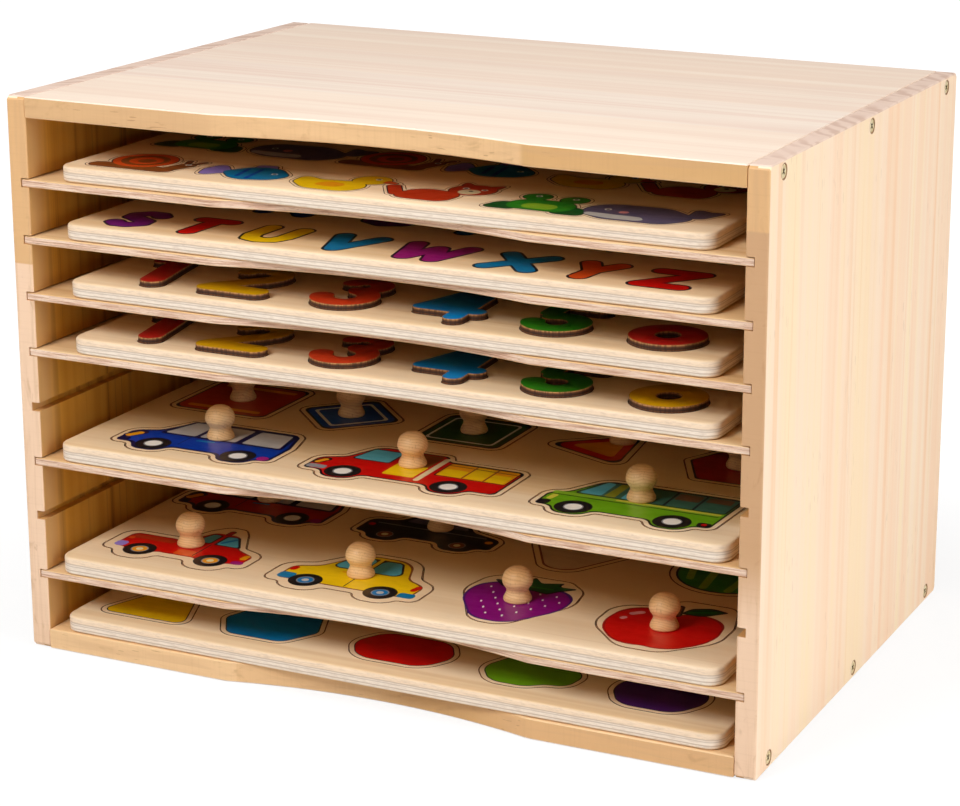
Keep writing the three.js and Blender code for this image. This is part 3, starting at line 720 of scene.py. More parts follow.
figures = {
    'bus': {
        'outline': patch(*underside(-37, 37, 7, [-19, 22]), (37, 26, 6), (32, 44, 6), (-17, 44, 6),
                         (-26, 27, 7), (-37, 22, 5)),
        'edge': 'navy',
        'fill': 'cobalt',
        'thick': 1.5,
        'details': [
            ('navy', pane(-25.5, 22.6, 34.4, 42.8, 6.4, 3.2, 2)),
            ('glass', pane(-23.2, 24.4, -8.2, 41.4, 5.6)),
            ('glass', pane(-6.2, 24.4, 11.2, 41.4)),
            ('glass', pane(14.2, 24.4, 32.4, 41.4, 0, 3)),
            ('navy', bar((-9, 12), (-9, 23), half=0.25)),
            ('sky', bar((-4, 19.6), (3, 20.4), half=0.8)),
            ('navy', bar((-34.8, 15), (-31.4, 20), half=2.6)),
            ('amber', bar((-34.6, 14.6), (-32, 19), half=1.7)),
            ('navy', pane(-36.4, 7.6, -31.6, 12.4, 0, 0, 1.6)),
            ('magenta', disc(33.2, 9.8, 2.6)),
            *wheels([-19, 22], 'white', low=1.2),
        ],
    },
    'truck': {
        'outline': patch(*underside(-43, 44, 7, [-25, 23]), (44, 38, 4), (9, 38, 3), (6, 44, 3), (-26, 44, 6),
                         (-33, 27, 6), (-43, 22, 5)),
        'fill': 'red',
        'details': [
            ('outline', pane(-30.4, 25.6, -12.6, 41, 3.4, 0, 1.6)),
            ('teal', pane(-29.6, 26.4, -13.4, 40.2, 3.2)),
            ('yellow', pane(-9.6, 13, 4.6, 27.6, 0, 0, 1)),
            ('brown', pane(-9.6, 27, 4.6, 42.4, 0, 0, 1.6)),
            ('outline', pane(10.4, 20, 42.6, 37, 0, 0, 1)),
            ('amber', pane(11, 20.6, 42, 36.4, 0, 0, 0.8)),
            ('yellow', pane(11.6, 21.2, 22, 29.6, 0, 0, 0.6)),
            ('yellow', pane(23.4, 21.6, 31.6, 35.6, 0, 0, 0.6)),
            ('yellow', pane(33, 21.2, 41, 30.4, 0, 0, 0.6)),
            ('brown', bar((11.4, 34), (41.6, 33.6), half=0.35)),
            ('brown', bar((22.8, 21), (22.8, 36), half=0.35)),
            ('brown', bar((32.4, 21), (32.4, 36), half=0.35)),
            ('cream', bar((7.2, 11.4), (7, 40), half=1.3)),
            ('grey', pane(-42.4, 8.4, -33.6, 12.6, 0, 0, 1.6)),
            ('outline', bar((-40.6, 15.6), (-38.4, 20), half=2.1)),
            ('amber', bar((-40.4, 15.6), (-38.6, 19.4), half=1.3)),
            *wheels([-25, 23], 'white', low=1.2),
        ],
    },
    'van': {
        'outline': patch(*underside(-37, 37, 7, [-20.6, 21]), (38.5, 44, 5), (-21, 44, 7), (-30, 26, 7),
                         (-37, 22, 5)),
        'fill': 'grass',
        'details': [
            ('outline', pane(-28, 24.8, 36.6, 43, 7, -0.8, 2)),
            ('darkTeal', pane(-27, 25.6, 35.8, 42.2, 6.6, -0.6)),
            ('teal', pane(-26, 26, -16.4, 41.8, 6)),
            ('olive', pane(-15.2, 26, -10.6, 42.2, 1, 0, 0.8)),
            ('teal', pane(-8, 26, 0.4, 41, 0, 0, 0.8)),
            ('outline', bar((10.4, 26), (10.4, 42), half=0.5)),
            ('outline', bar((22.8, 26), (22.8, 42), half=0.5)),
            ('brownish', pane(11.4, 34, 21.8, 41.4, 0, 0, 0.8)),
            ('brownish', pane(24, 36, 34.6, 41.4, 0, 0, 0.8)),
            ('lime', bar((-34.2, 23.2), (35.2, 23.2), half=1.5)),
            ('citron', bar((-8, 23.4), (34.8, 23.4), half=0.8)),
            ('outline', bar((-34.2, 20.9), (35.2, 20.9), half=0.25)),
            ('citron', bar((-33.6, 15), (-33, 19), half=1.3)),
            ('outline', pane(-36.4, 8, -31.6, 13, 0, 0, 1.4)),
            ('outline', pane(30.8, 8, 36.4, 12.6, 0, 0, 1.4)),
            ('red', disc(33.6, 10.4, 1.2)),
            *wheels([-20.6, 21], 'white', low=1.2),
        ],
    },
    'pickup': {
        'border': patch(*underside(-33, 33, 7, [-17.5, 17.5]), (33, 22, 5), (22, 26, 6), (14, 41.5, 5),
                        (10.5, 46.5, 2.5), (4.5, 46.5, 2.5), (0, 41, 4), (-5, 27, 5), (-33, 27, 5)),
        'outline': patch((-31, 9, 2), (-26, 9, 5), (-17.5, 3, 6), (-9, 9, 5), (9, 9, 5), (17.5, 3, 6),
                         (26, 9, 5), (31.4, 9, 2), (32, 20, 4), (21.6, 25.6, 4), (13.6, 40.2, 5),
                         (1.4, 40.2, 3), (-5.4, 26.4, 4), (-31, 26.4, 4)),
        'edge': 'darkRed',
        'fill': 'red',
        'details': [
            ('outline', bar((7.4, 40.6), (7.6, 43.6), half=1.5)),
            ('darkRed', bar((7.4, 40.6), (7.6, 43.2), half=1.1)),
            ('outline', pane(-2.6, 27, 6.4, 38.6, 4, 0)),
            ('teal', pane(-1.8, 27.6, 5.6, 38, 3.6, 0)),
            ('outline', pane(8, 26.6, 21.6, 38.6, 0, 7, 1.2)),
            ('teal', pane(9, 27.4, 20, 37.8, 0, 6.4)),
            ('sky', bar((10.6, 30), (14, 35.6), half=0.9)),
            ('brick', pane(-29, 20.4, -8, 24.4, 0, 0, 1.6)),
            ('orange', pane(-2, 9.8, 9.4, 16, 0, 3, 1.6)),
            ('outline', bar((7.4, 11), (7.4, 26), half=0.25)),
            ('lilac', pane(-31.4, 9.2, -26, 15, 0, 0, 2)),
            ('magenta', pane(26.4, 9.2, 32, 13, 0, 0, 1.8)),
            ('amber', bar((29, 16.6), (29.2, 19.4), half=1.5)),
            ('orange', disc(-28.6, 20, 1.5)),
            *wheels([-17.5, 17.5], 'amber', 'cream', 7.2, low=1.8),
        ],
    },
    'car': {
        'border': patch(*underside(-33.5, 33.5, 6, [-17.5, 17.5]), (33.5, 22, 6), (24, 28, 8), (15.5, 47, 12),
                        (-9, 47, 12), (-22, 28, 8), (-33.5, 23, 6)),
        'outline': patch((-31, 7.4, 3), (31, 7.4, 3), (31.6, 22, 6), (21.6, 27, 8), (14.2, 46.4, 12),
                         (-8.6, 46.4, 12), (-20.6, 27, 8), (-31, 22.6, 6)),
        'edge': 'brown',
        'fill': 'yellow',
        'details': [
            ('outline', pane(-17, 27.6, 18, 43.6, 5.4, 7.4, 4)),
            ('teal', pane(-16, 28.6, -1.2, 42.6, 5, 0, 3)),
            ('yellow', bar((0.2, 26.8), (0.2, 44), half=0.9)),
            ('teal', pane(1.8, 28.4, 16.6, 42.6, 0, 6.6, 3.4)),
            ('outline', bar((0.4, 9), (0.4, 28), half=0.25)),
            ('amber', bar((-8, 24), (-4, 24), half=0.5)),
            ('sky', pane(-31.4, 8, -24, 14.4, 0, 0, 2)),
            ('sky', pane(25, 7.4, 32.6, 12.6, 0, 0, 1.8)),
            ('red', bar((-28.8, 18.6), (-28.4, 20.6), half=1.5)),
            ('red', bar((28.6, 16.8), (29.4, 20.4), half=1.4)),
            *wheels([-17.5, 17.5], 'azure', 'glass', 7.2, low=1.7),
        ],
    },
    'coupe': {
        'outline': patch(*underside(-32.5, 32.5, 7, [-17.5, 17.5]), (32.5, 20, 5), (17, 25, 6), (9, 36, 6),
                         (-14, 36, 6), (-20, 26, 6), (-32.5, 24, 5)),
        'fill': 'black',
        'details': [
            ('slate', pane(-17, 25.6, -3.6, 34.4, 4, 0)),
            ('slate', pane(-1.8, 25.6, 14.2, 34.4, 0, 6)),
            ('grey', bar((-27, 20), (25, 20), half=0.5)),
            ('amber', disc(28.4, 16, 1.8)),
            ('red', disc(-29, 17, 1.6)),
            *wheels([-17.5, 17.5], 'brown', 'cream', 7.2),
        ],
    },
    'berry': {
        'border': even((6, 0, 8), (22.5, 29, 12), (20, 44, 7), (12, 51, 3)),
        'outline': even((8, 0.2, 11), (23.4, 23, 20), (20.6, 43, 12)),
        'edge': 'violet',
        'fill': 'plum',
        'details': [
            *(('white', bar((x, y), (x - 0.3, y + 0.9), half=0.4)) for x, y in seeds),
            ('outline', patch(*leaves)),
            ('darkGreen', moved(patch(*leaves), 0.2, 4.4, size=0.9)),
            ('green', bar((-5, 41.4), (9, 42.2), half=0.5)),
        ],
    },
    'apple': {
        'border': patch((-8, 0, 9), (8, 0, 9), (24.5, 17, 13), (24.5, 33, 9), (19, 52, 4), (-2, 52, 4),
                        (-6, 43, 6), (-24.5, 37, 9), (-24.5, 17, 13)),
        'outline': patch((-11, 0.2, 13), (0, 2, 5), (11, 0.2, 13), (25, 17, 19), (21.6, 41.4, 12),
                         (6, 41.6, 7), (0, 38, 4), (-6, 41.6, 7), (-21.6, 40.4, 12), (-25, 17, 19)),
        'edge': 'darkRed',
        'fill': 'red',
        'details': [
            ('pink', bar((-16.4, 32.4), (-13.6, 35), half=1.5)),
            ('pink', bar((-18.2, 26.2), (-17.8, 27), half=1.2)),
            ('outline', bar((0.4, 38), (-1.6, 46.6), half=1.9)),
            ('brown', bar((0.4, 38.4), (-1.6, 46.2), half=0.9)),
            ('outline', patch((1, 40.2, 1), (10, 40, 5), (18.8, 48.6, 0.8), (11, 50.8, 6), (3, 47, 4))),
            ('darkGreen', patch((2, 41.2, 0.8), (10, 41, 5), (17, 48, 0.6), (11, 49.6, 6), (4, 46.2, 4))),
            ('green', bar((3.6, 42.4), (13.6, 47), half=0.35)),
        ],
    },
    'square': {
        'outline': pane(-22.5, 0, 22.5, 44, radius=4),
        'fill': 'brick',
        'details': [('amber', pane(-18, 4.4, 18, 7.6, 0, 0, 1.4)),
                    ('amber', pane(-18, 36.4, 18, 39.6, 0, 0, 1.4))],
    },
    'diamond': {
        'outline': even((0, 0, 4), (24, 24, 4), (0, 48, 4)),
        'fill': 'blue',
        'details': [('white', even((0, 5.4, 2), (18.6, 24, 2), (0, 42.6, 2))),
                    ('blue', even((0, 7.4, 2), (16.6, 24, 2), (0, 40.6, 2)))],
    },
    'panel': {
        'outline': pane(-19.5, 0, 19.5, 38, radius=4),
        'fill': 'darkGreen',
        'details': [('white', pane(-16, 3.4, 16, 34.6, 0, 0, 2.4)),
                    ('darkGreen', pane(-14.8, 4.6, 14.8, 33.4, 0, 0, 2))],
    },
    'triangle': {
        'outline': even((21, 0, 4), (0, 37, 4)),
        'fill': 'red',
        'details': [('amber', even((12.6, 5.4, 2), (0, 27.6, 2)))],
    },
    'hexagon': {
        'outline': even((11, 0, 2), (22, 22, 2), (11, 44, 2)),
        'fill': 'darkRed',
    },
    'pear': {
        'outline': even((10, 0, 9), (18.5, 12, 9), (12, 28, 8), (8, 46, 7)),
        'fill': 'lime',
        'details': [('brown', bar((0, 43), (2, 48), half=1)), ('white', disc(-9, 18, 1.6))],
    },
    'heart': {
        'outline': even((6, 0, 8), (22.5, 29, 12), (16, 44, 9), (0, 40, 3)),
        'edge': 'brown',
        'fill': 'bare',
    },
    'round': {
        'outline': disc(0, 23, 23),
        'fill': 'green',
        'details': [
            ('lime', bar((-14, 12), (-18, 28), half=1.6)),
            ('lime', bar((-5, 4), (-8, 34), half=1.8)),
            ('lime', bar((6, 4), (8, 34), half=1.8)),
            ('lime', bar((15, 12), (18, 28), half=1.4)),
        ],
    },
}


# thin closed plates on a face, each higher than the last, from a material, a shape and how far it grows
def stack(piece, layers, top, sunk, first, rise, apart=0.0, foot=0.0):
    for count, (material, shape, grow) in enumerate(layers):
        low, high = top - sunk + foot * count, top + first + rise * count
        piece.shells(shape, low, high, material, grow, apart)


printLook = {
    'stack': {'sunk': 0.3, 'first': 0.003, 'rise': 0.003, 'apart': 0.0006},
    'cut': (2.9, 2.25),  # the scorched cut, outer and inner edge
    'thick': 0.9,        # the outline of a figure
}


# the print of a figure, and the scorched cut around it
def drawn(piece, figure, x, y, top, wood, fill=None, turn=0.0, cut=printLook['cut']):
    look = figures[figure]
    border, outline = look.get('border', look['outline']), look['outline']
    layers = [
        (paints['scorch'], border, cut[0]),
        (wood, border, cut[1]),
        (paints[look.get('edge', 'outline')], outline, 0.0),
        (paints[fill or look['fill']], outline, -look.get('thick', printLook['thick'])),
        *((paints[ink], shape, 0.0) for ink, shape in look.get('details', [])),
    ]
    layers = [(material, moved(shape, x, y, turn), grow) for material, shape, grow in layers]
    stack(piece, layers, top, **printLook['stack'])


# turned knobs

knobLook = {
    'profile': [(0, 0), (5.5, 0), (5.85, 0.5), (5.8, 1.4), (5.2, 2.6), (4.62, 3.8), (4.5, 4.8), (4.95, 5.7),
                (5.8, 6.8), (6.22, 7.9), (6.3, 9.0), (6.0, 10.4), (5.3, 11.9), (4.2, 13.05), (2.8, 13.85),
                (1.4, 14.22), (0, 14.3)],
    'steps': 40,
    'above': 0.09,   # over the face of a printed piece
}


def turnedShell(profile, x, y, z, steps):
    bm = bmesh.new()
    verts = [bm.verts.new((x + radius, y, z + height)) for radius, height in profile]
    edges = [bm.edges.new(pair) for pair in zip(verts, verts[1:])]
    bmesh.ops.spin(bm, geom=verts + edges, cent=(x, y, 0), axis=(0, 0, 1), angle=2 * math.pi, steps=steps,
                   use_merge=True)
    bmesh.ops.remove_doubles(bm, verts=bm.verts, dist=0.001)
    bmesh.ops.recalc_face_normals(bm, faces=bm.faces)
    return bm


def turnedKnob(x, y, z):
    return turnedShell(knobLook['profile'], x, y, z, knobLook['steps'])


# tiles with knobs: the node, its figure, the knob's place in the figure, and its board
tiles = {
    'pocket': 3.2,
    'clearance': 0.4,
    'border': 2.4,
    'rim': (0.06, 0.5),   # the scorched rim of a tile, from its edge: partly real scorch, partly painted shade that widens the dark line of the gap
    'gap': 0.1,
    'knobbed': {
        'blue_bus': ('bus', (2.3, 27.4), 'vehicle_board'),
        'red_truck': ('truck', (-3, 28), 'vehicle_board'),
        'green_van': ('van', (-0.2, 28.6), 'vehicle_board'),
        'red_sign': ('square', (0, 22), 'vehicle_board'),
        'blue_sign': ('diamond', (0, 24), 'vehicle_board'),
        'green_sign': ('panel', (0, 19), 'vehicle_board'),
        'red_pickup': ('pickup', (-0.6, 22.8), 'fruit_board'),
        'yellow_car': ('car', (0.5, 23.6), 'fruit_board'),
        'purple_berry': ('berry', (1.1, 25.8), 'fruit_board'),
        'red_apple': ('apple', (0.9, 23.6), 'fruit_board'),
        'black_car': ('coupe', (1, 24), 'fruit_board'),
    },
}

boardNodes = ['animal_board', 'letter_board', 'number_board_a', 'number_board_b', 'vehicle_board',
              'fruit_board', 'shape_board']
boards = {}
for count, node in enumerate(boardNodes):
    low, high = (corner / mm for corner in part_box(node))
    plain = node.replace('_', ' ')
    wood = birchPly(plain + ' birch', low.z, high.z - low.z, 3.7 * count + 1.3)
    burnt = burntWood(plain + ' cut', high.z - tiles['pocket'], high.z)
    boards[node] = {'low': low, 'high': high, 'wood': wood, 'burnt': burnt, 'cutters': []}


def placeOf(node, shape, grow):   # where a figure's origin goes for its outline to match the node's
    low, high = (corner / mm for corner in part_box(node))
    middle, lowest, highest = reachOf(shape, grow)
    return (low.x + high.x) / 2 - middle, (low.y + high.y) / 2 - (lowest + highest) / 2


def makeTile(name, figure, knobAt, board):
    look = figures[figure]
    border = look.get('border', look['outline'])
    held = boards[board]
    x, y = placeOf(name, border, tiles['border'])
    top = held['high'].z
    tile = Piece(name + '_piece')
    floor = top - tiles['pocket'] + tiles['gap']
    tile.shells(moved(border, x, y), floor, top, held['burnt'], tiles['border'])
    for face in tile.bm.faces:
        if abs(face.normal.z) > 0.5:
            face.material_index = tile.slot(held['wood'])
    drawn(tile, figure, x, y, top, held['wood'], cut=[tiles['border'] - inset for inset in tiles['rim']])
    turned = turnedKnob(x + knobAt[0], y + knobAt[1], top + tiles['gap'])
    if name + '_knob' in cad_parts:
        knob = Piece(name + '_turned_knob')
        knob.take(turned, beech)
        knob.done(name, [name + '_knob'])
    else:
        tile.take(turned, beech)
    tile.done(name, [name])
    held['cutters'].append(moved(border, x, y))


for name, (figure, knobAt, board) in tiles['knobbed'].items():
    makeTile(name, figure, knobAt, board)
print('tiles with knobs made')


# numerals that stand proud of their boards

numeralLook = {
    'proud': 2.4,
    'arris': 0.3,
    'burnt': 1.0,   # from this far below the board's face
    'hole': (15.4, 4.9),
    # most of these inks are picked darker than the numerals' own colours: painted shade of the bays they
    # stand in
    'inks': {'1': 'darkRed', '2': 'mustard', '3': 'brick', '4': 'azure', '5': 'leaf', '0': 'darkRed'},
}
numerals = {
    '1': group(bar((3.6, 5.4), (-2.8, 38.6), half=5.4), bar((-10, 34.8), (-3, 39), half=4.4)),
    '2': group(bow(-0.5, 30, 8.6, -0.7, 2.75, 4.7), bar((-9.5, 7.5), (5.4, 23), half=4.8),
               bar((-10.3, 5.2), (11.4, 5.2), half=5.2)),
    '3': group(bow(-0.5, 31.8, 7.2, -1.35, 2.7, 4.8), bow(0, 14.2, 9.4, -2.95, 1.35, 4.8)),
    '4': group(bar((-11.4, 14.6), (11.6, 14.6), half=4.5), bar((6.8, 4.3), (4.6, 38), half=4.3),
               bar((-11, 15.4), (-3.5, 38.4), half=4.6),
               block((-3.5, 20), (2, 20), (3, 38), (-2.6, 38), half=4.6)),
    '5': group(bar((-7.2, 39), (8.6, 39), half=4.6), bar((-7.6, 26), (-7.4, 38), half=4.2),
               bow(0.3, 14, 9.2, -2.95, 2.1, 4.8)),
    '0': disc(0, 15.4, 15.4),
}


def makeNumeral(digit, letter):
    node = f'number_{letter}_{digit}'
    held = boards[f'number_board_{letter}']
    x, y = placeOf(node, numerals[digit], 0)
    top = held['high'].z + numeralLook['proud']
    floor = held['high'].z - tiles['pocket'] + tiles['gap']
    ink = 'mustard' if digit == '0' and letter == 'b' else numeralLook['inks'][digit]
    piece = Piece(node + '_piece')
    piece.shells(moved(numerals[digit], x, y), floor, top, held['side'])
    if digit == '0':
        hole = Piece('hole')
        up, radius = numeralLook['hole']
        hole.shells(disc(x, y + up, radius), floor - 1, top + 1, held['side'])
        piece.solid(hole, 'DIFFERENCE')
        hole.bm.free()
    else:
        piece.solid()
    bmesh.ops.remove_doubles(piece.bm, verts=piece.bm.verts, dist=0.01)
    bmesh.ops.dissolve_limit(piece.bm, angle_limit=0.01, verts=piece.bm.verts, edges=piece.bm.edges)
    upper = [e for e in piece.bm.edges if min(v.co.z for v in e.verts) > top - 0.01]
    rim = [e for e in upper if len(e.link_faces) == 2 and e.calc_face_angle() > 1.0]
    bmesh.ops.bevel(piece.bm, geom=rim, offset=numeralLook['arris'], affect='EDGES', segments=2, profile=0.5,
                    material=-1, clamp_overlap=True)
    inked = piece.slot(paints[ink])
    for face in piece.bm.faces:
        if face.normal.z > 0.93 and face.calc_center_median().z > top - 0.15:
            face.material_index = inked
    piece.done(node, [node])
    held['cutters'].append(moved(numerals[digit], x, y))


for letter in 'ab':
    held = boards[f'number_board_{letter}']
    face = held['high'].z
    held['side'] = burntWood(f'numeral edge {letter}', face - numeralLook['burnt'],
                             face + numeralLook['proud'])
    for digit in numerals:
        makeNumeral(digit, letter)
print('numerals made')


# letters and further numerals, as strokes on a grid one wide and one high

ring = [(.5, 1), (.12, .85), (0, .5), (.12, .15), (.5, 0), (.88, .15), (1, .5), (.88, .85), (.5, 1)]
hook = [(1, .8), (.75, .98), (.4, 1), (.08, .75), (0, .45), (.12, .15), (.45, 0)]
glyphs = {
    'A': [[(0, 0), (.5, 1), (1, 0)], [(.2, .36), (.8, .36)]],
    'B': [[(.5, .54), (.8, .62), (.85, .86), (.6, 1), (0, 1), (0, 0), (.6, 0), (.95, .14), (.95, .4),
           (.5, .54), (0, .54)]],
    'C': [[*hook, (.8, .03), (1, .2)]],
    'D': [[(0, 0), (0, 1), (.5, 1), (.9, .8), (1, .5), (.9, .2), (.5, 0), (0, 0)]],
    'E': [[(1, 1), (0, 1), (0, 0), (1, 0)], [(0, .52), (.8, .52)]],
    'F': [[(1, 1), (0, 1), (0, 0)], [(0, .52), (.8, .52)]],
    'G': [[*hook, (.9, .08), (1, .42), (.6, .42)]],
    'H': [[(0, 0), (0, 1)], [(1, 0), (1, 1)], [(0, .5), (1, .5)]],
    'I': [[(.5, 0), (.5, 1)]],
    'J': [[(.9, 1), (.9, .3), (.7, .03), (.3, 0), (.05, .25)]],
    'K': [[(0, 0), (0, 1)], [(1, 1), (0, .45), (1, 0)]],
    'L': [[(0, 1), (0, 0), (1, 0)]],
    'M': [[(0, 0), (.1, 1), (.5, .3), (.9, 1), (1, 0)]],
    'N': [[(0, 0), (0, 1), (1, 0), (1, 1)]],
    'O': [ring],
    'P': [[(0, 0), (0, 1), (.6, 1), (.95, .85), (.95, .6), (.6, .46), (0, .46)]],
    'Q': [ring, [(.6, .3), (1, -.02)]],
    'R': [[(0, 0), (0, 1), (.6, 1), (.95, .85), (.95, .62), (.6, .48), (0, .48)], [(.5, .48), (1, 0)]],
    'S': [[(.95, .86), (.72, 1), (.36, 1), (.06, .84), (.12, .62), (.5, .5), (.88, .38), (.96, .16), (.66, 0),
           (.3, 0), (.02, .14)]],
    'T': [[(0, 1), (1, 1)], [(.5, 1), (.5, 0)]],
    'U': [[(0, 1), (0, .34), (.14, .08), (.5, 0), (.86, .08), (1, .34), (1, 1)]],
    'V': [[(0, 1), (.46, 0), (1, 1)]],
    'W': [[(0, 1), (.24, 0), (.5, .8), (.76, 0), (1, 1)]],
    'X': [[(0, 0), (1, 1)], [(0, 1), (1, 0)]],
    'Y': [[(0, 1), (.5, .48), (1, 1)], [(.5, .48), (.44, 0)]],
    'Z': [[(0, 1), (1, 1), (0, 0), (1, 0)]],
    '6': [[(.85, .95), (.4, .9), (.05, .5), (.05, .2), (.4, 0), (.85, .1), (.95, .35), (.6, .55), (.1, .45)]],
    '7': [[(0, 1), (1, 1), (.4, 0)]],
    '8': [[(.5, .54), (.12, .7), (.2, .96), (.5, 1), (.8, .96), (.88, .7), (.5, .54)],
          [(.5, .54), (.05, .36), (.1, .06), (.5, 0), (.9, .06), (.95, .36), (.5, .54)]],
    '9': [[(.15, .05), (.6, .1), (.95, .5), (.95, .8), (.6, 1), (.15, .9), (.05, .65), (.4, .45), (.9, .55)]],
    '+': [[(.5, .1), (.5, .9)], [(.05, .5), (.95, .5)]],
    '-': [[(.05, .5), (.95, .5)]],
    '=': [[(.05, .28), (.95, .28)], [(.05, .74), (.95, .74)]],
}


signLook = {
    'half': 3.6,   # half the width of a stroke
    'lean': 1.2,
    'outline': 1.1,
    'stack': {'sunk': 0.3, 'first': 0.002, 'rise': 0.018, 'apart': 0.0008, 'foot': 0.05},
}


def writeSign(piece, sign, left, right, low, high, top, ink, half=signLook['half'], lean=signLook['lean']):
    wide, tall = right - left - 2 * half, high - low - 2 * half
    strokes = [[(left + half + u * wide + v * lean, low + half + v * tall) for u, v in stroke]
               for stroke in glyphs[sign]]
    shape = group(*(bar(*stroke, half=half) for stroke in strokes))
    layers = [(paints['outline'], shape, signLook['outline']), (paints[ink], shape, 0.0)]
    stack(piece, layers, top, **signLook['stack'])


letterRows = {
    'front': [('S', -129, -109, 'purple'), ('T', -98.5, -78, 'red'), ('U', -66, -44, 'yellow'),
              ('V', -32.5, -8.5, 'sky'), ('W', 0.5, 31.5, 'magenta'), ('X', 41.5, 66.5, 'sky'),
              ('Y', 75.5, 95.5, 'orange'), ('Z', 105.5, 129.5, 'red')],
    'pitch': 47,
    'left': -118.5,
    'low': 6.9,
    'tall': 29,
    'half': 13,
    'behind': ['MNOPQR', 'GHIJKL', 'ABCDEF'],
    'inks': ['green', 'red', 'cobalt', 'amber', 'purple', 'orange', 'sky'],
}


def writeLetters(piece, front, top):
    low, tall = front + letterRows['low'], letterRows['tall']
    for sign, left, right, ink in letterRows['front']:
        writeSign(piece, sign, left, right, low, low + tall, top, ink)
    for row, signs in enumerate(letterRows['behind']):
        base = low + letterRows['pitch'] * (row + 1)
        for count, sign in enumerate(signs):
            middle = letterRows['left'] + letterRows['pitch'] * count
            ink = letterRows['inks'][(count * 2 + row * 3) % 7]
            left, right = middle - letterRows['half'], middle + letterRows['half']
            writeSign(piece, sign, left, right, base, base + tall, top, ink)


numberRows = {
    'behind': [('6789', -100, 64), ('+-=', -66, 122)],   # signs, middle of the first, distance from the front
    'pitch': 66,
    'half': 12,
    'tall': 31,
    'stroke': 4.4,
}


def writeNumbers(piece, front, top, shift):
    for row, (signs, first, rise) in enumerate(numberRows['behind']):
        low, high = front + rise, front + rise + numberRows['tall']
        for count, sign in enumerate(signs):
            middle = shift + first + numberRows['pitch'] * count
            left, right = middle - numberRows['half'], middle + numberRows['half']
            ink = letterRows['inks'][(count * 3 + row) % 7]
            writeSign(piece, sign, left, right, low, high, top, ink, numberRows['stroke'], 0.0)


# animals of our own drawing, in two or three plain colours each

def eye(x, y):
    return [('white', disc(x, y, 1.3)), ('black', disc(x, y, 0.7))]


animals = {
    'snail': [
        ('brown', bar((-15, 4), (12, 4), half=3.6)),
        ('brown', bar((12, 4.5), (15.5, 15), half=3)),
        ('brown', bar((14, 17), (12.5, 22), half=0.8)),
        ('brown', bar((17, 17), (19, 21.5), half=0.8)),
        ('orange', disc(-3, 16, 12)),
        ('brown', disc(-3, 16, 9)),
        ('orange', disc(-2.4, 15.6, 6.4)),
        ('brown', disc(-2, 15.4, 3.4)),
        *eye(15.6, 15.6),
    ],
    'fish': [
        ('lilac', patch((-15, 2, 3), (-6, 12, 3), (-15, 24, 3), (-18, 13, 3))),
        ('lilac', patch((-2, 20, 2), (8, 20, 2), (4, 28, 2), (-3, 27, 2))),
        ('sky', patch((-10, 12, 3), (0, 1, 9), (14, 6, 8), (17, 14, 6), (6, 26, 10), (-4, 22, 8))),
        ('cobalt', bar((4, 5), (2, 20), half=0.8)),
        ('cobalt', bar((-1, 7), (-3, 19), half=0.8)),
        *eye(10, 15),
    ],
    'duck': [
        ('yellow', patch((-16, 8, 5), (-8, 0, 7), (8, 0, 7), (15, 10, 8), (6, 17, 6), (-8, 15, 5),
                         (-17, 19, 3))),
        ('yellow', disc(9, 21, 7)),
        ('orange', patch((14, 18, 1), (21, 19.6, 1), (14.4, 23.4, 1))),
        ('amber', patch((-9, 6, 3), (3, 5, 4), (5, 12, 4), (-4, 13, 3))),
        *eye(10.6, 23),
    ],
    'cat': [
        ('brick', bar((-13, 6), (-19, 16), half=2.4)),
        ('brick', patch((-14, 0, 6), (8, 0, 5), (10, 15, 7), (-10, 18, 8))),
        ('brick', patch((2, 27, 1), (7, 28.4, 1), (1.4, 33, 1))),
        ('brick', patch((11, 28.4, 1), (16.6, 26, 1), (17, 33, 1))),
        ('brick', disc(9.2, 21.6, 8.4)),
        ('cream', disc(9.2, 18.4, 4)),
        ('black', disc(9.2, 19.8, 0.9)),
        *eye(5.6, 23.4),
        *eye(12.8, 23.4),
    ],
    'frog': [
        ('darkGreen', patch((-19, 0, 3), (-6, 0, 3), (-9, 12, 5), (-16, 10, 5))),
        ('darkGreen', patch((6, 0, 3), (19, 0, 3), (16, 10, 5), (9, 12, 5))),
        ('green', even((11, 2, 6), (14, 18, 9))),
        ('green', disc(-7, 22, 5)),
        ('green', disc(7, 22, 5)),
        ('lime', even((7, 4, 4), (6, 12, 4))),
        *eye(-7, 23),
        *eye(7, 23),
    ],
    'whale': [
        ('slate', patch((-22, 6, 8), (-12, 0, 9), (10, 0, 8), (20, 12, 8), (4, 24, 12), (-22, 22, 10))),
        ('slate', patch((14, 12, 3), (20, 14, 2), (25, 26, 2), (19, 24, 2), (13, 27, 2))),
        ('glass', patch((-20, 4, 3), (-10, 1.4, 5), (6, 1.6, 3), (0, 7, 4), (-20, 8, 2))),
        ('pink', disc(-8, 12, 1.8)),
        *eye(-14.6, 14),
    ],
}
animalRows = {
    'pitch': 48,
    'low': 6.9,
    'size': 1.12,
    'shift': -0.6,
    'around': [('scorch', 1.9), ('wood', 1.55), ('outline', 0.5)],   # rings, by how far they reach
    'rings': {'sunk': 0.3, 'first': 0.002, 'rise': 0.012, 'apart': 0.0005},
    'colours': {'sunk': 0.25, 'first': 0.04, 'rise': 0.002, 'apart': 0.0004},
    'places': [('snail', -113), ('fish', -66), ('duck', -24), ('cat', 20), ('frog', 66), ('whale', 108)],
}


def drawAnimal(piece, name, x, y, top, size):
    border = group(*(shape for ink, shape in animals[name] if ink not in ('white', 'black')))
    finishes = {**paints, 'wood': boards['animal_board']['wood']}
    around = moved(border, x, y, size=size)
    rings = [(finishes[ink], around, grow) for ink, grow in animalRows['around']]
    colours = [(paints[ink], moved(shape, x, y, size=size), 0.0) for ink, shape in animals[name]]
    stack(piece, rings, top, **animalRows['rings'])
    stack(piece, colours, top, **animalRows['colours'])


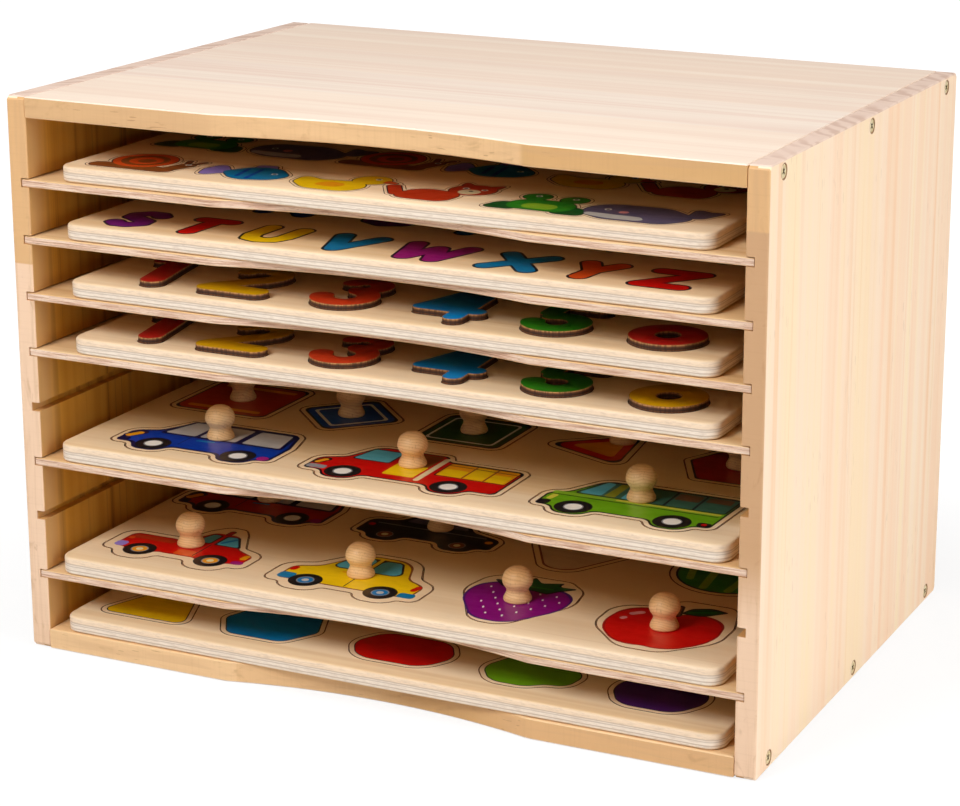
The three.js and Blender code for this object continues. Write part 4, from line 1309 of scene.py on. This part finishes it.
def drawAnimals(piece, front, top):
    names = [name for name, _ in animalRows['places']]
    for row in range(4):
        for count, (_, x) in enumerate(animalRows['places']):
            name = names[(count + 4 * row) % 6]
            low = front + animalRows['low'] + animalRows['pitch'] * row
            drawAnimal(piece, name, x + animalRows['shift'], low, top, animalRows['size'])


# plain shapes of the lowest puzzle

plainShapes = [
    ('yellow', even((20.5, 0, 4), (8, 32, 4)), -118.5),
    ('azure', even((13, 0, 6), (22, 15, 4), (13, 37, 5)), -63.5),
    ('red', even((15, 0, 11), (23, 14, 9), (15, 28, 10)), 0),
    ('grass', patch((-10, 0, 9), (5, 0, 9), (12, 5, 7), (21, 7, 6), (23, 19, 7), (10, 30, 9), (-10, 30, 8),
                    (-18.5, 12, 9)), 56),
    ('violet', even((12, 0, 10), (20.5, 15, 12), (12, 34, 11)), 114),
]
shapeRows = {
    'low': [13.3, 70, 120, 165],
    'shift': -0.4,
    'left': -117,
    'pitch': 57,
    'small': 0.75,   # size of the shapes behind
    'around': [('scorch', 2.95), ('wood', 2.4), ('outline', 0.5)],
    'stack': {'sunk': 0.3, 'first': 0.004, 'rise': 0.004, 'foot': 0.01},
    'inks': ['yellow', 'cobalt', 'red', 'green', 'violet', 'orange', 'sky'],
}


def drawShape(piece, ink, shape, x, y, top):
    finishes = {**paints, 'wood': boards['shape_board']['wood']}
    layers = [(finishes[tone], moved(shape, x, y), grow) for tone, grow in [*shapeRows['around'], (ink, 0.0)]]
    stack(piece, layers, top, **shapeRows['stack'])


def drawShapes(piece, front, top):
    extra = [figures[name]['outline'] for name in ('triangle', 'hexagon', 'round', 'diamond', 'pear')]
    for ink, shape, x in plainShapes:
        drawShape(piece, ink, shape, x + shapeRows['shift'], front + shapeRows['low'][0], top)
    for row, low in enumerate(shapeRows['low'][1:]):
        for count in range(5):
            shape = moved(extra[(count + 2 * row) % 5], 0, 0, size=shapeRows['small'])
            ink = shapeRows['inks'][(count * 2 + row * 3 + 1) % 7]
            x = shapeRows['left'] + shapeRows['pitch'] * count
            drawShape(piece, ink, shape, x, front + low, top)


# flush pieces of the knobbed puzzles: figure, ink, x, y from the board's front, turn, and height of the knob
flushRows = {
    'vehicle_board': [
        ('triangle', None, 54.8, 81.8, -21.8, 24), ('hexagon', None, 120.5, 71.2, 0, 22),
        ('car', 'sky', -105, 131, 0, 24), ('bus', 'orange', -12, 128, 0, 26),
        ('pickup', 'lime', 84, 134, 0, 24),
    ],
    'fruit_board': [
        ('bus', 'darkRed', -108.3, 76, 0, 27), ('heart', None, 46.3, 75.3, 0, 0),
        ('round', None, 115, 77.4, 0, 0),
        ('van', 'sky', -98, 142, 0, 26), ('apple', 'lime', -14, 142, 0, 20),
        ('pear', 'amber', 46, 138, 0, 18), ('berry', 'red', 106, 142, 0, 24),
    ],
}


def drawFlush(piece, node, front, top):
    for figure, ink, x, y, turn, knobAt in flushRows[node]:
        drawn(piece, figure, x, front + y, top, boards[node]['wood'], ink, turn)
        if knobAt:
            aside = Matrix.Rotation(math.radians(turn), 2) @ Vector((0, knobAt))
            piece.take(turnedKnob(x + aside.x, front + y + aside.y, top + knobLook['above']), beech)


# boards: a plate with soft arrises, pockets cut for the loose pieces, and flush pieces drawn on top

boardShape = {
    'corner': 7,
    'arris': 1.15,
    'over': 3,   # how far a cutter stands over the face
}


def makeBoard(node):
    held = boards[node]
    low, high = held['low'], held['high']
    board = Piece(node + '_plate')
    board.shells(pane(low.x, low.y, high.x, high.y, radius=boardShape['corner']), low.z, high.z, held['wood'])
    board.slot(held['burnt'])
    level = [e for e in board.bm.edges if abs(e.verts[0].co.z - e.verts[1].co.z) < 0.01]
    rims = [e for e in level if e.calc_face_angle() > 1.0]
    bmesh.ops.bevel(board.bm, geom=rims, offset=boardShape['arris'], affect='EDGES', segments=3, profile=0.5,
                    material=-1)
    if held['cutters']:
        cutter = Piece('cutter')
        grow = tiles['clearance'] + (0 if 'number' in node else tiles['border'])
        for shape in held['cutters']:
            for face in shape(grow):
                cutter.take(raised(face, high.z - tiles['pocket'], high.z + boardShape['over']))
        for face in cutter.bm.faces:
            face.material_index = 0 if face.normal.z < -0.5 else 1
        board.solid(cutter, 'DIFFERENCE')
        cutter.bm.free()
    if node == 'letter_board':
        writeLetters(board, low.y, high.z)
    elif node == 'animal_board':
        drawAnimals(board, low.y, high.z)
    elif node == 'shape_board':
        drawShapes(board, low.y, high.z)
    elif node in flushRows:
        drawFlush(board, node, low.y, high.z)
    else:
        writeNumbers(board, low.y, high.z, (low.x + high.x) / 2)
    board.done(node, [node])


for node in boardNodes:
    makeBoard(node)
print('boards made')


# countersunk screws with a cross recess, in the sides

screwLook = {
    'profile': [(0, 0), (2.55, 0), (2.85, -0.3), (1.7, -2.4), (1.7, -23), (0, -28)],
    'steps': 24,
    'recess': 1.2,
    'slot': (3.7, 0.95),
    'taper': 0.5,
    'turn': 0.4,
}


def zincSteel():
    shader = Shader('yellow zinc', roughness=0.4)
    shader.surface.inputs['Metallic'].default_value = 0.35
    stain = shader.noise((1.2, 1.2, 1.2), (1, 1, 1), 3.0)
    stops = [(0.35, srgb(196, 170, 118)), (0.5, srgb(236, 216, 168)), (0.65, srgb(250, 236, 200))]
    colour = shader.ramp(stain, stops)
    return shader.finish(colour, stain * 0.3 + 0.3)


def makeScrew(node, steel, dark):
    low, high = (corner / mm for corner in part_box(node))
    screw = Piece(node + '_cross_head')
    screw.take(turnedShell(screwLook['profile'], 0, 0, 0, screwLook['steps']), steel)
    cross = Piece('cross')
    for size in (screwLook['slot'], screwLook['slot'][::-1]):
        bm = bmesh.new()
        bmesh.ops.create_cube(bm, size=1.0)
        bmesh.ops.scale(bm, vec=(*size, 2 * screwLook['recess']), verts=bm.verts)
        foot = [v for v in bm.verts if v.co.z < 0]
        bmesh.ops.scale(bm, vec=(screwLook['taper'], screwLook['taper'], 1), verts=foot)
        cross.take(bm)
    # the recess faces take the dark finish: painted shade in the cross
    deep = screw.slot(dark)
    for face in cross.bm.faces:
        face.material_index = deep
    screw.solid(cross, 'DIFFERENCE')
    cross.bm.free()
    side = 1 if low.x > 0 else -1
    own = Matrix.Rotation(screwLook['turn'] + low.y, 4, 'Z')   # each recess is turned in its own way
    turn = Matrix.Rotation(side * math.pi / 2, 4, 'Y') @ own
    place = Matrix.Translation((high.x if side > 0 else low.x, (low.y + high.y) / 2, (low.z + high.z) / 2))
    bmesh.ops.transform(screw.bm, matrix=place @ turn, verts=screw.bm.verts)
    screw.done('carcass', [node])


steel = zincSteel()
# a dark brown for the cross recess: painted shade
recess = Shader('screw recess', roughness=0.7).finish(srgb(84, 62, 30))
for node in list(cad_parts):
    if node.startswith('screw_'):
        makeScrew(node, steel, recess)
print('screws made')


# floor, lamps and world

studio = {
    'floor': 5.0,   # metres
    'sink': 0.3,
    'tone': 0.8,
    'glow': 1.08,
    'least': 0.76,  # the floor's own glow in the lamps' reach, as a share
    'lamps': [
        {'name': 'right', 'place': (1350, -250, 560), 'aim': (165, 0, 120), 'size': 900, 'power': 11.9},
        {'name': 'above', 'place': (150, -150, 1400), 'aim': (0, 0, 238), 'size': 900, 'power': 8.1},
        {'name': 'front', 'place': (-280, -920, 900), 'aim': (0, -80, 120), 'size': 460, 'power': 9.9},
        {'name': 'behind', 'place': (-560, 1250, 112), 'aim': (0, 0, 112), 'size': 220, 'power': 8.0},
    ],
    'sky': 0.06,
    'shine': 0.25,
    'shadow': (200, 360),   # the floor is seen lit by the lamps within this reach, and plain white past it
}


def makeFloor():
    bm = bmesh.new()
    bmesh.ops.create_grid(bm, x_segments=1, y_segments=1, size=studio['floor'] / 2)
    mesh = bpy.data.meshes.new('floor')
    bm.to_mesh(mesh)
    bm.free()
    floor = linked('floor', mesh)
    floor.location.z = -studio['sink'] * mm
    shader = Shader('pale floor', 0.9)
    shader.finish((studio['tone'],) * 3)
    glow = shader.node('Emission', {}, {'Color': (1.0, 1.0, 1.0), 'Strength': studio['glow']})
    seen = shader.node('LightPath')
    lit = Wire(shader, shader.surface.outputs[0])
    across, deep = shader.axis('X') * 0.001, shader.axis('Y') * 0.001
    near, far = ((reach / 1000) ** 2 for reach in studio['shadow'])
    plain = (across * across + deep * deep).step(near, far) * (1 - studio['least']) + studio['least']
    both = shader.node('MixShader', {}, {0: seen * plain, 1: lit, 2: glow})
    shader.feed(shader.tree.nodes['Material Output'].inputs['Surface'], both)
    mesh.materials.append(shader.material)


def makeLamps():
    for look in studio['lamps']:
        lamp = bpy.data.lights.new(look['name'], 'AREA')
        lamp.size = look['size'] * mm
        lamp.energy = look['power']
        holder = linked(look['name'], lamp)
        holder.location = Vector(look['place']) * mm
        aim = Vector(look['aim']) * mm - holder.location
        holder.rotation_euler = aim.to_track_quat('-Z', 'Y').to_euler()


def makeWorld():
    world = bpy.data.worlds.new('studio')
    world.use_nodes = True
    bpy.context.scene.world = world
    tree = world.node_tree
    back = tree.nodes['Background']
    back.inputs['Color'].default_value = (1, 1, 1, 1)
    kinds = ('LightPath', 'Math', 'Math', 'MapRange')
    path, shine, seen, level = (tree.nodes.new('ShaderNode' + kind) for kind in kinds)
    shine.operation = 'MULTIPLY'
    shine.inputs[1].default_value = studio['shine']
    seen.operation = 'MAXIMUM'
    level.inputs['To Min'].default_value = studio['sky']
    level.inputs['To Max'].default_value = 1.0
    wires = [
        (path.outputs['Is Glossy Ray'], shine.inputs[0]),
        (path.outputs['Is Camera Ray'], seen.inputs[0]),
        (shine.outputs[0], seen.inputs[1]),
        (seen.outputs[0], level.inputs['Value']),
        (level.outputs[0], back.inputs['Strength']),
    ]
    for start, end in wires:
        tree.links.new(start, end)


makeFloor()
makeLamps()
makeWorld()
bpy.context.scene.view_settings.view_transform = 'Standard'
print('studio lit')
